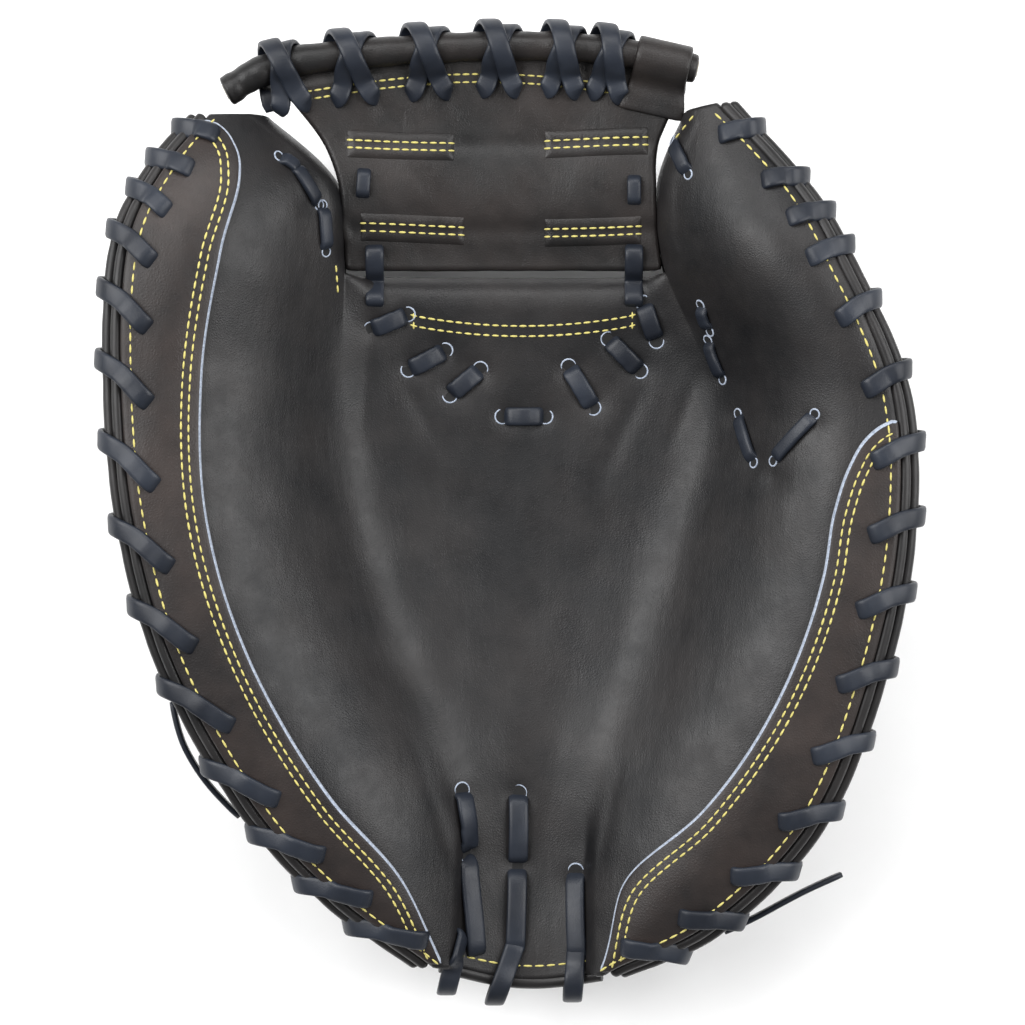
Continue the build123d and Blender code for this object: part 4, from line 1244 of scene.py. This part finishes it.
for side, rows in (("thumb", THUMB), ("finger", FINGER)):
    grid = np.array([back_row(rows, s) for s in np.linspace(0, 1, 190)])
    away = np.hypot(grid[..., 0] - INDEX[0], grid[..., 1] - INDEX[1])
    hole = (away < INDEX[2]) if side == "finger" else np.zeros(away.shape, bool)
    near = (away < INDEX[2] + 1.6) & ~hole if side == "finger" else hole
    for i, j in np.argwhere(near):
        push = (grid[i, j, :2] - INDEX[:2]) / max(away[i, j], 1e-6)
        grid[i, j, :2] = INDEX[:2] + push * (INDEX[2] + 0.6 * (away[i, j] - INDEX[2]))

    def keep(i, j):
        return not hole[i:i + 2, j:j + 2].any()

    flat = grid[:, ::-1] if side == "thumb" else grid
    piece = sheet_object(side + "_back_shell", flat, LEATHER, [back_leather], keep=keep)
    worn(piece, side + "_side", "shell_leather", side + "_back")
turns = np.linspace(0, 2 * math.pi, 72, endpoint=False)
inner, rim = station(FINGER, 0.53)[:2]
ring = []
for a in turns:
    x, y = INDEX[0] + (INDEX[2] + 0.4) * math.cos(a), INDEX[1] + (INDEX[2] + 0.4) * math.sin(a)
    v = (x - inner[0]) / (rim[0] - inner[0])
    ring.append((x, y, back(FINGER, 0.53, float(np.clip(v, 0, 1)))[2] + 1.8))
ring = np.array(ring)
outer = unit((ring - (INDEX[0], INDEX[1], 0)) * (1, 1, 0))
profile = [(math.cos(t) * 2.0, math.sin(t) * 1.8)
           for t in np.linspace(0, 2 * math.pi, 12, endpoint=False)]
points = np.array([ring + outer * a + (0, 0, b) for a, b in profile])
points = points.transpose(1, 0, 2).reshape(-1, 3)
faces = [(i * 12 + j, i * 12 + (j + 1) % 12, ((i + 1) % 72) * 12 + (j + 1) % 12,
          ((i + 1) % 72) * 12 + j)
         for i in range(72) for j in range(12)]
worn(object_from("index_hole_binding", points, faces, [welt_leather]), "finger_side",
     "welt_leather")


# %% Bridge and pocket back
def bridge(s, w, lift):
    left, right = station(THUMB, s), station(FINGER, s)
    point = palm(s, w)
    point[2] = left[3] + (right[3] - left[3]) * w + lift
    return point


def pocket_back(s, w):
    low = bridge(s, w, 2 * LEATHER + 0.25)[2]
    point = palm(s, w)
    high = point[2] - (2.6 + 0.25 + 7 + 0.25) - 1.4 - 0.25
    point[2] = low + (high - low) * float(smooth((s - 0.45) / 0.17))
    return point


grid = np.array([[bridge(s, w, LEATHER) for w in np.linspace(0.004, 0.996, 70)]
                 for s in np.linspace(0.42, 0.53, 26)])
worn(sheet_object("knuckle_bridge", grid[:, ::-1], LEATHER, [back_leather, raw_edge],
                  raw=np.zeros(grid.shape[:2], bool)), "palm", "shell_leather", "back_bridge")
grid = np.array([[pocket_back(s, w) for w in np.linspace(0.004, 0.996, 70)]
                 for s in np.linspace(0.43, LIP - 0.02, 70)])
worn(sheet_object("pocket_back_leather", grid[:, ::-1], LEATHER, [back_leather]), "palm",
     "shell_leather", "pocket_back")

# %% [markdown]
# ## Padding and linings
# Pressed felt fills the sides and lies under the palm and heel. It is firm: a ball hardly dents
# it, so its shape is cut and not inflated, and every pad is a crowned form with soft edges under
# the hide. A thin lining separates it from the hand.


# %% Felt pads and linings
def between(rows, s, w, crease, rim):
    wide = span(rows, s)
    low = crease * math.tanh(0.3 * wide / crease) / wide
    return low + (1 - rim / wide - low) * w


def pad_top(rows, s, w):
    inset = PAD_EDGE * math.tanh(0.5 * span(rows, s) / PAD_EDGE)
    v = between(rows, s, w, 2.5, inset + 2)
    point = front(rows, s, v) - (0, 0, LEATHER + 0.45)
    deep = 3 + 22 * math.sin(math.pi * (0.06 + 0.88 * s)) ** 0.6 * math.sin(math.pi * v) ** 0.8
    return point, deep


def pillow(top, bottom, ease=0.18):
    """Closed form between two grids whose edges are eased together."""
    n, m, _ = top.shape
    i = np.minimum(np.arange(n), np.arange(n)[::-1]) / (n - 1)
    j = np.minimum(np.arange(m), np.arange(m)[::-1]) / (m - 1)
    edge = np.minimum(smooth(i / ease)[:, None], smooth(j / ease)[None])
    mid = (top + bottom) / 2
    fill = (0.30 + 0.70 * edge)[..., None]
    top, bottom = mid + (top - mid) * fill, mid + (bottom - mid) * fill
    points = np.concatenate([top.reshape(-1, 3), bottom.reshape(-1, 3)])
    faces = grid_faces(n, m) + [tuple(n * m + k for k in f[::-1]) for f in grid_faces(n, m)]
    loop = ([(0, b) for b in range(m - 1)] + [(a, m - 1) for a in range(n - 1)]
            + [(n - 1, b) for b in range(m - 1, 0, -1)] + [(a, 0) for a in range(n - 1, 0, -1)])
    loop = [a * m + b for a, b in loop]
    faces += [(loop[k], loop[(k + 1) % len(loop)], n * m + loop[(k + 1) % len(loop)],
               n * m + loop[k])
              for k in range(len(loop))]
    return points, faces


for side, rows in (("thumb", THUMB), ("finger", FINGER)):
    top, low = [], []
    for s in np.linspace(0.04, 0.95, 90):
        pairs = [pad_top(rows, s, w) for w in np.linspace(0, 1, 30)]
        top.append([p for p, _ in pairs])
        low.append([p - (0, 0, d) for p, d in pairs])
    top, low = np.array(top), np.array(low)
    points, faces = pillow(top, low)
    pad = worn(object_from(side + "_felt_pad", points, faces, [felt]), side + "_side", "felt",
               side + "_pad")
    hang = low - (0, 0, 0.3)
    worn(sheet_object(side + "_hand_lining", hang[:, ::-1] if side == "finger" else hang, LINING,
                      [lining_leather]),
         side + "_side", "lining_leather", side + "_lining")

for name, low_s, high_s, thick, lining in (("heel_pad", 0.03, 0.256, 10.0, "heel_lining"),
                                           ("palm_pad", 0.26, LIP - 0.02, 7.0, "palm_lining")):
    top = np.array([[palm(s, w) - (0, 0, 3.1) for w in np.linspace(0.02, 0.98, 40)]
                    for s in np.linspace(low_s, high_s, 60)])
    points, faces = pillow(top, top - (0, 0, thick - 0.3), 0.08)
    pad = worn(object_from(name[:4] + "_felt", points, faces, [felt]), "palm", "felt", name)
    worn(sheet_object(name[:4] + "_hand_lining", (top - (0, 0, thick + 0.1))[:, ::-1], LINING,
                      [lining_leather]),
         "palm", "lining_leather", lining)

# %% Loops that hold the thumb and the little finger
for side, name, rows, s, low, high, deep in (("thumb", "thumb_loop", THUMB, 0.50, 0.30, 0.66, 22.0),
                                             ("finger", "little_finger_loop", FINGER, 0.42, 0.40,
                                              0.74, 20.0)):
    a, b = np.array(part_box(name)[0]) * 1000 - SHIFT, np.array(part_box(name)[1]) * 1000 - SHIFT
    ends = [front(rows, s, v) for v in (low, high)]
    flat = unit((ends[1] - ends[0]) * (1, 1, 0))
    x0, x1 = a[0] + 3.2 + 1.0, b[0] - 3.2 - 1.0
    mid = (a + b) / 2
    places = []
    for t in np.linspace(0, 1, 15):
        x = x0 + (x1 - x0) * t
        hang = math.sin(math.pi * t) ** 0.45
        places.append((x, mid[1] + (x - mid[0]) * flat[1] / flat[0],
                       b[2] - 1.2 - (b[2] - a[2] - 2.4) * hang))
    places = np.array(places)
    facing = np.cross(along(places), np.cross(flat, (0, 0, 1)))
    points, faces = strip(*with_facing(places, facing, 40), 15.5, 2.0, crown=0.2)
    worn(object_from(name + "_strap", points, faces, [lining_leather]), side + "_side",
         "lining_leather", name)

# %% [markdown]
# ## The wrist strap
# A leather strap crosses the wrist, passes through a steel ring and folds back on itself with a
# hook-and-loop patch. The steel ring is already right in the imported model, so it only gets its
# finish. The leather pieces are rebuilt with rounded edges and a row of thread, and the fleece
# pad gets a pile.

# %% Ring and straps
ring = frame["nodes"]["strap_ring"]
ring.data.materials.clear()
ring.data.materials.append(ring_steel)


def box_mm(node):
    low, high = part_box(node)
    return np.array(low) * 1000 - SHIFT, np.array(high) * 1000 - SHIFT


low, high = box_mm("wrist_strap")
STRAP_TOP = 9.8


def strap_top(x, y):
    rise = 0.5 * max((-24 - x) / 28, 0) ** 2
    return STRAP_TOP + rise - 0.25 * abs((y + 100) / 19) ** 6


grid = np.array([[(x, y, strap_top(x, y)) for x in np.linspace(low[0], high[0], 110)]
                 for y in np.linspace(-118.9, -81.1, 34)])
strap_piece = sheet_object("wrist_strap_leather", grid[:, ::-1], 2.6, [back_leather, raw_edge],
                           raw=np.zeros(grid.shape[:2], bool))
worn(strap_piece, "palm", "shell_leather", "wrist_strap")

# The strap's end turns about the ring's inner bar and lies back underneath.
fold_x, fold_z, outer = 36.0, 5.5, 4.3
line = [(x, fold_z - outer + 1.3) for x in np.linspace(-8 + 1.3, 36, 40)]
line += [(fold_x + 3.0 * math.sin(a), fold_z - 3.0 * math.cos(a))
         for a in np.linspace(0.08, math.pi, 16)]
line = np.array([(x, -100.0, z) for x, z in line])
ahead = along(line)
facing = np.cross(ahead, (0, 1, 0))
width = np.full(len(line), 34.0)
points, faces = strip(line, facing, 34.0, 2.6, taper=0.97)
worn(object_from("strap_end_leather", points, faces, [back_leather]), "strap_end", "shell_leather",
     "strap_tab")


def tape_form(node, name, body, slot, material, bumps_up):
    """Tape with its loops or hooks standing on it."""
    low, high = box_mm(node)
    grid = np.array([[(x, y, high[2] - 0.35 if bumps_up else high[2])
                      for x in np.linspace(low[0] + .4, high[0] - .4, 40)]
                     for y in np.linspace(low[1] + .4, high[1] - .4, 30)])
    piece = sheet_object(name, grid[:, ::-1], 0.75, [material])
    return worn(piece, body, slot, node), low, high


tape_form("loop_patch", "loop_tape_patch", "palm", "loop_tape", loop_tape, False)
tape_form("hook_patch", "hook_tape_patch", "strap_end", "hook_tape", hook_tape, True)

# The keeper is a loop of leather that holds the ring's outer bar.
low, high = box_mm("ring_keeper")
bend = 1.25 + 0.25 + 1.0
keeper = [(11.5, bend + 0.9), (8.0, bend + 0.8), (4.5, bend + 0.5)]
keeper += [(bend * math.cos(math.radians(a)), bend * math.sin(math.radians(a)))
           for a in range(95, 266, 12)]
keeper += [(4.6, -bend + 0.9), (8.2, bend - 2.2), (11.6, bend - 1.6)]
line = np.array([(36 + 15.5 + dx, -100.0, 5.5 + dz) for dx, dz in keeper])
facing = np.cross(along(line), (0, 1, 0))
points, faces = strip(*with_facing(line, facing, 60), 29.5, 1.9, taper=0.97)
worn(object_from("ring_keeper_leather", points, faces, [back_leather]), "palm", "shell_leather",
     "ring_keeper")

# %% Fleece pad
low, high = box_mm("wrist_fleece")
n, m = 46, 42
xs, ys = np.linspace(low[0] + 0.6, high[0] - 0.6, n), np.linspace(low[1] + 0.6, high[1] - 0.6, m)
top = np.array([[(x, y, 0.0) for x in xs] for y in ys])
u = np.minimum(top[..., 0] - low[0], high[0] - top[..., 0]) / 4.0
v = np.minimum(top[..., 1] - low[1], high[1] - top[..., 1]) / 4.0
edge = np.sqrt(np.clip(np.minimum(u, 1), 0, 1) * np.clip(np.minimum(v, 1), 0, 1))
x, y = top[..., 0], top[..., 1]
curl = 0.35 * np.sin(2.1 * x + 1.3 * np.sin(0.9 * y)) * np.sin(1.9 * y + 1.1 * np.sin(1.1 * x))
base = top.copy()
base[..., 2] = low[2] + 0.05
top[..., 2] = low[2] + 1.2 + (high[2] - low[2] - 1.9) * edge + curl * edge
points, faces = pillow(top, base, 0.10)
pad = worn(object_from("fleece_pad", points, faces, [fleece]), "palm", "fleece", "wrist_fleece")

# %% [markdown]
# ## Knots
# Where the rim lace ends, it is tied in an overhand knot that is pulled tight against the back
# leather. A knot is a short cord that crosses itself, so it is swept along a trefoil line.

# %% Knots
for side, rows, s in (("thumb", THUMB, 0.175), ("finger", FINGER, 0.862)):
    low, high = box_mm(side + "_knot")
    centre, size = (low + high) / 2, (high - low)[0] / 2
    out = outwards(rows, s)
    other = np.cross(out, (0, 0, 1))
    turns = np.linspace(0, 2 * math.pi, 90)
    a = (np.sin(turns) + 2 * np.sin(2 * turns)) * size * 0.27
    b = (np.cos(turns) - 2 * np.cos(2 * turns)) * size * 0.27
    c = -np.sin(3 * turns) * size * 0.36
    line = centre + a[:, None] * out + b[:, None] * other + c[:, None] * np.array([0, 0, 1.0])
    points, faces = strip(line, unit(line - centre), 2.9, 1.6, taper=1.0)
    worn(object_from(side + "_tied_knot", points, faces, [lace_leather]), side + "_side", "lace",
         side + "_knot")

# %% [markdown]
# ## Stitches
# Every seam is the same thing many times over: a short run of waxed thread, dipping into the hide
# at both ends. A Geometry Nodes tree walks a seam line in even steps and puts one slim grain of
# thread at each. It could be an array along a curve, but a tree keeps the pitch even on every
# seam, however long. The result is made a plain mesh, because shared copies don't travel.

# %% The stitch tree
def stitch_tree():
    tree = bpy.data.node_groups.new("stitch_row", "GeometryNodeTree")
    face = tree.interface
    face.new_socket("Seam", in_out="INPUT", socket_type="NodeSocketGeometry")
    for name, value in (("Stitch pitch", 0.0032), ("Stitch length", 0.0027),
                        ("Thread radius", 0.00042)):
        face.new_socket(name, in_out="INPUT", socket_type="NodeSocketFloat").default_value = value
    face.new_socket("Thread", in_out="INPUT", socket_type="NodeSocketMaterial")
    face.new_socket("Stitches", in_out="OUTPUT", socket_type="NodeSocketGeometry")
    new, link = tree.nodes.new, tree.links.new
    given, made = new("NodeGroupInput"), new("NodeGroupOutput")
    steps = new("GeometryNodeCurveToPoints")
    steps.mode = "LENGTH"
    link(given.outputs["Seam"], steps.inputs["Curve"])
    link(given.outputs["Stitch pitch"], steps.inputs["Length"])
    grain = new("GeometryNodeMeshUVSphere")
    grain.inputs["Segments"].default_value = 8
    grain.inputs["Rings"].default_value = 6
    grain.inputs["Radius"].default_value = 1.0
    half = new("ShaderNodeMath")
    half.operation = "MULTIPLY"
    half.inputs[1].default_value = 0.5
    link(given.outputs["Stitch length"], half.inputs[0])
    size = new("ShaderNodeCombineXYZ")
    link(half.outputs[0], size.inputs["X"])
    link(given.outputs["Thread radius"], size.inputs["Y"])
    link(given.outputs["Thread radius"], size.inputs["Z"])
    slim = new("GeometryNodeTransform")
    link(grain.outputs["Mesh"], slim.inputs["Geometry"])
    link(size.outputs[0], slim.inputs["Scale"])
    turn = new("FunctionNodeAlignRotationToVector")
    turn.axis = "X"
    link(steps.outputs["Tangent"], turn.inputs["Vector"])
    vary = new("FunctionNodeRandomValue")
    vary.data_type = "FLOAT_VECTOR"
    vary.inputs["Min"].default_value = (0.90, 0.90, 0.90)
    vary.inputs["Max"].default_value = (1.06, 1.12, 1.12)
    vary.inputs["Seed"].default_value = 7
    place = new("GeometryNodeInstanceOnPoints")
    link(steps.outputs["Points"], place.inputs["Points"])
    link(slim.outputs["Geometry"], place.inputs["Instance"])
    link(turn.outputs["Rotation"], place.inputs["Rotation"])
    link(vary.outputs["Value"], place.inputs["Scale"])
    real = new("GeometryNodeRealizeInstances")
    link(place.outputs["Instances"], real.inputs["Geometry"])
    round_it = new("GeometryNodeSetShadeSmooth")
    link(real.outputs["Geometry"], round_it.inputs["Geometry"])
    finish = new("GeometryNodeSetMaterial")
    link(round_it.outputs["Geometry"], finish.inputs["Geometry"])
    link(given.outputs["Thread"], finish.inputs["Material"])
    link(finish.outputs["Geometry"], made.inputs["Stitches"])
    return tree


STITCHES = stitch_tree()


def set_inputs(modifier, tree, values):
    for item in tree.interface.items_tree:
        if item.item_type == "SOCKET" and item.in_out == "INPUT" and item.name in values:
            modifier[item.identifier] = values[item.name]


def baked(holder, name):
    """The evaluated holder as a plain mesh object."""
    bpy.context.view_layer.update()
    graph = bpy.context.evaluated_depsgraph_get()
    mesh = bpy.data.meshes.new_from_object(holder.evaluated_get(graph))
    mesh.name = name
    made = bpy.data.objects.new(name, mesh)
    bpy.context.scene.collection.objects.link(made)
    old = holder.data
    bpy.data.objects.remove(holder)
    (bpy.data.curves if isinstance(old, bpy.types.Curve) else bpy.data.meshes).remove(old)
    return made


def sewn(name, lines, body, pitch=3.0, length=2.65, radius=0.34):
    """One piece of stitching from several lines of places."""
    data = bpy.data.curves.new(name + "_seam", "CURVE")
    data.dimensions = "3D"
    for line in lines:
        if len(line) < 2:
            continue
        spline = data.splines.new("POLY")
        spline.points.add(len(line) - 1)
        flat = np.c_[(np.asarray(line) + SHIFT) / 1000, np.ones(len(line))]
        spline.points.foreach_set("co", flat.ravel())
    holder = bpy.data.objects.new(name + "_seam", data)
    bpy.context.scene.collection.objects.link(holder)
    modifier = holder.modifiers.new("stitches", "NODES")
    modifier.node_group = STITCHES
    set_inputs(modifier, STITCHES, {"Stitch pitch": pitch / 1000, "Stitch length": length / 1000,
                                    "Thread radius": radius / 1000, "Thread": thread})
    piece = baked(holder, name)
    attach(piece, body)
    print(name, len(piece.data.polygons), "faces")
    return piece


# %% Seams beside the raw edges and along the rims
def offset_plan(plan, by):
    ahead = unit(np.gradient(plan, axis=0))
    return plan + np.c_[-ahead[:, 1], ahead[:, 0]] * by


for side, (rows, _) in SEAMS.items():
    sign = 1 if side == "thumb" else -1
    _, shares, plan = seam_line(side)
    lines = []
    for by in (2.9, 5.1):
        run = offset_plan(plan, by * sign)
        places, _ = laid_line(run, lift=-0.02)
        lines.append(places[3:-3])
    sewn(side + "_seam_stitches", lines, side + "_side")
    rim = [beside_rim(rows, s, -rim_edge(rows, s) - 2.3, 0) for s in np.linspace(0.015, 0.975, 300)]
    places, _ = laid_line([p[:2] for p in rim], lift=-0.02)
    sewn(side + "_rim_stitches", [places], side + "_side", pitch=3.5, length=2.9)
heel_row = [palm(0.012, w) for w in np.linspace(0.03, 0.97, 40)]
places, _ = laid_line([(p[0], p[1] + 1.5) for p in heel_row], lift=0.0)
sewn("heel_stitches", [places], "palm", pitch=3.4, length=3.0)

# %% Stitched box on the pocket's lip, and the web's seams
box_line = []
for t in np.linspace(0, 1, 80):
    x = -30.2 + 66.8 * t
    box_line.append((x, 60.2 - 2.9 * math.sin(math.pi * t) ** 0.8 - 1.2 * t * (1 - t)))
upper = np.array(box_line)
lower = upper - (0, 3.1)
places = [laid_line(upper)[0], laid_line(lower)[0],
          laid_line([upper[0], upper[0] - (0, 1.5), lower[0]])[0],
          laid_line([upper[-1], upper[-1] - (0, 1.5), lower[-1]])[0]]
sewn("pocket_lip_stitches", places, "palm", pitch=2.7, length=2.35)

web_lines = []
bar_skin = tree_of(panel, bpy.data.objects["web_bar_upper_strips"],
                   bpy.data.objects["web_bar_lower_strips"])
for y, reaches in BARS.values():
    for low_x, high_x in reaches:
        for dy in (-1.15, 1.15):
            run = [(x, y + dy + 0.9 * math.sin((x + y) * 0.05))
                   for x in np.linspace(low_x + 0.6, high_x - 0.6, 40)]
            web_lines.append(laid_line(run, bar_skin, 0.05)[0])
for dy in (0.0, 2.4):
    run = []
    for w in np.linspace(0.015, 0.985, 90):
        place = web_place(0.915, w)
        run.append((place[0], place[1] - 1.5 + dy))
    web_lines.append(laid_line(run, bar_skin, 0.02)[0])
sewn("web_stitches", web_lines, "palm", pitch=2.8, length=2.4)

# %% Stitches on the tips, the strap and the back
odd = {
    "thumb_tip_stitches": ("thumb_side",
                           [[(-80, 122.5), (-72, 121.5), (-66, 118.5), (-60.5, 113)],
                            [(-53.6, 74), (-53.2, 68)]]),
    "finger_tip_stitches": ("finger_side", [[(54, 119), (50.0, 114)]]),
}
for name, (body, runs) in odd.items():
    lines = [laid_line(refine(np.array(run, float), 24), lift=0.05)[0] for run in runs]
    sewn(name, [line for line in lines if len(line) > 1], body, pitch=2.8, length=2.4)
strap_lines = []
for y in (-116.6, -83.4):
    strap_lines.append([(x, y, strap_top(x, y) + 0.02) for x in np.linspace(-49, 28, 60)])
sewn("strap_stitches", strap_lines, "palm", pitch=3.2, length=2.7)
for side, (rows, _) in SEAMS.items():
    line = []
    for s in np.linspace(0.10, 0.90, 240):
        spot, slope = off_back(rows, s, 9.5 if side == "thumb" else 9.5, 0.0)
        line.append(spot + slope * 0.02)
    line = np.array(line)
    sewn(side + "_back_stitches", [line], side + "_side", pitch=3.4, length=2.9)

# %% [markdown]
# ## Punched holes
# Each lace goes through a round hole whose cut rim shows pale. A second small tree puts a thin
# ring and a near-black disc of painted shade, standing for the hole's shaded inside, at each
# place, turned to the slope of the leather there.

# %% The hole tree
def hole_tree():
    tree = bpy.data.node_groups.new("punched_holes", "GeometryNodeTree")
    face = tree.interface
    face.new_socket("Places", in_out="INPUT", socket_type="NodeSocketGeometry")
    face.new_socket("Hole radius", in_out="INPUT",
                    socket_type="NodeSocketFloat").default_value = 0.0023
    face.new_socket("Cut edge", in_out="INPUT",
                    socket_type="NodeSocketFloat").default_value = 0.0003
    face.new_socket("Edge finish", in_out="INPUT", socket_type="NodeSocketMaterial")
    # The Dark material is painted shade for the inside of each hole.
    face.new_socket("Dark", in_out="INPUT", socket_type="NodeSocketMaterial")
    face.new_socket("Holes", in_out="OUTPUT", socket_type="NodeSocketGeometry")
    new, link = tree.nodes.new, tree.links.new
    given, made = new("NodeGroupInput"), new("NodeGroupOutput")
    circle = new("GeometryNodeCurvePrimitiveCircle")
    circle.inputs["Resolution"].default_value = 18
    link(given.outputs["Hole radius"], circle.inputs["Radius"])
    wire = new("GeometryNodeCurvePrimitiveCircle")
    wire.inputs["Resolution"].default_value = 6
    link(given.outputs["Cut edge"], wire.inputs["Radius"])
    edge = new("GeometryNodeCurveToMesh")
    link(circle.outputs["Curve"], edge.inputs["Curve"])
    link(wire.outputs["Curve"], edge.inputs["Profile Curve"])
    pale = new("GeometryNodeSetMaterial")
    link(edge.outputs["Mesh"], pale.inputs["Geometry"])
    link(given.outputs["Edge finish"], pale.inputs["Material"])
    # The floor disc is painted shade: a near-black cap that stands in for the shaded inside of the
    # hole.
    floor = new("GeometryNodeMeshCylinder")
    floor.inputs["Vertices"].default_value = 18
    link(given.outputs["Hole radius"], floor.inputs["Radius"])
    link(given.outputs["Cut edge"], floor.inputs["Depth"])
    dark = new("GeometryNodeSetMaterial")
    link(floor.outputs["Mesh"], dark.inputs["Geometry"])
    link(given.outputs["Dark"], dark.inputs["Material"])
    both = new("GeometryNodeJoinGeometry")
    link(pale.outputs["Geometry"], both.inputs["Geometry"])
    link(dark.outputs["Geometry"], both.inputs["Geometry"])
    slope = new("GeometryNodeInputNamedAttribute")
    slope.data_type = "FLOAT_VECTOR"
    slope.inputs["Name"].default_value = "slope"
    turn = new("FunctionNodeAlignRotationToVector")
    turn.axis = "Z"
    link(slope.outputs["Attribute"], turn.inputs["Vector"])
    points = new("GeometryNodeMeshToPoints")
    link(given.outputs["Places"], points.inputs["Mesh"])
    place = new("GeometryNodeInstanceOnPoints")
    link(points.outputs["Points"], place.inputs["Points"])
    link(both.outputs["Geometry"], place.inputs["Instance"])
    link(turn.outputs["Rotation"], place.inputs["Rotation"])
    real = new("GeometryNodeRealizeInstances")
    link(place.outputs["Instances"], real.inputs["Geometry"])
    link(real.outputs["Geometry"], made.inputs["Holes"])
    return tree


HOLES = hole_tree()


def punched(name, plan, body, radius=2.6, over=None):
    """Punched holes with a pale cut edge, at places planned from above."""
    spots, slopes = laid_line(plan, over, 0.02)
    mesh = bpy.data.meshes.new(name + "_places")
    mesh.from_pydata([tuple(p) for p in (spots + SHIFT) / 1000], [], [])
    slope = mesh.attributes.new("slope", "FLOAT_VECTOR", "POINT")
    slope.data.foreach_set("vector", slopes.astype(np.float32).ravel())
    holder = bpy.data.objects.new(name + "_places", mesh)
    bpy.context.scene.collection.objects.link(holder)
    modifier = holder.modifiers.new("holes", "NODES")
    modifier.node_group = HOLES
    set_inputs(modifier, HOLES, {"Hole radius": radius / 1000, "Cut edge": 0.00028,
                                 "Edge finish": raw_edge, "Dark": hole_painted_shade})
    piece = baked(holder, name)
    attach(piece, body)
    print(name, len(spots), "holes")
    return piece


ends = [p for run in pocket_runs for p in run]
punched("pocket_holes", ends, "palm", 2.3)
punched("heel_holes", [p for run in HEEL_RUNS for p in run if p[1] > -130], "palm", 2.6)
for name, (body, runs, width) in INNER.items():
    punched(name[:-5] + "_holes", [p for run in runs for p in run], body, 1.5)

# %% [markdown]
# ## Floor and light
# A pale floor and soft light from two large panels suit black leather: it shows its shape only by
# what it reflects, so the panels are wide, and their edges make the long highlights on the sides.

# %% Floor
floor_material, tree, shader, mm = start_finish("pale_floor")
speckle = noise(tree, mm, 0.02, 4)
tree.links.new(ramp(tree, speckle, [(0.3, (0.88, 0.88, 0.88)), (0.7, (0.93, 0.93, 0.93))]),
               shader.inputs["Base Color"])
shader.inputs["Roughness"].default_value = 0.9
floor_mesh = bpy.data.meshes.new("floor")
floor_mesh.from_pydata([(-6, -6, -0.0004), (6, -6, -0.0004), (6, 6, -0.0004), (-6, 6, -0.0004)],
                       [], [(0, 1, 2, 3)])
floor_mesh.materials.append(floor_material)
floor = bpy.data.objects.new("floor", floor_mesh)
bpy.context.scene.collection.objects.link(floor)
floor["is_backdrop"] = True


# %% Lights
def panel_light(name, place, aim, size, power):
    data = bpy.data.lights.new(name, "AREA")
    data.shape = "RECTANGLE"
    data.size, data.size_y = size
    data.energy = power
    lamp = bpy.data.objects.new(name, data)
    lamp.location = place
    lamp.rotation_euler = (Vector(aim) - Vector(place)).to_track_quat("-Z", "Y").to_euler()
    bpy.context.scene.collection.objects.link(lamp)


panel_light("left_panel", (-0.95, 0.35, 1.05), (0, 0, 0.05), (0.9, 1.3), 29)
panel_light("right_panel", (1.0, 0.15, 0.95), (0, 0, 0.05), (0.8, 1.2), 20)
panel_light("top_panel", (0.0, 1.15, 1.2), (0, 0.02, 0.05), (1.4, 0.6), 16)
world = bpy.data.worlds.new("studio")
bpy.context.scene.world = world
world.use_nodes = True
world.node_tree.nodes["Background"].inputs["Color"].default_value = (1, 1, 1, 1)
world.node_tree.nodes["Background"].inputs["Strength"].default_value = 0.30
bpy.context.scene.view_settings.view_transform = "Standard"

# %% Sizes, then finish
low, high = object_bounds()
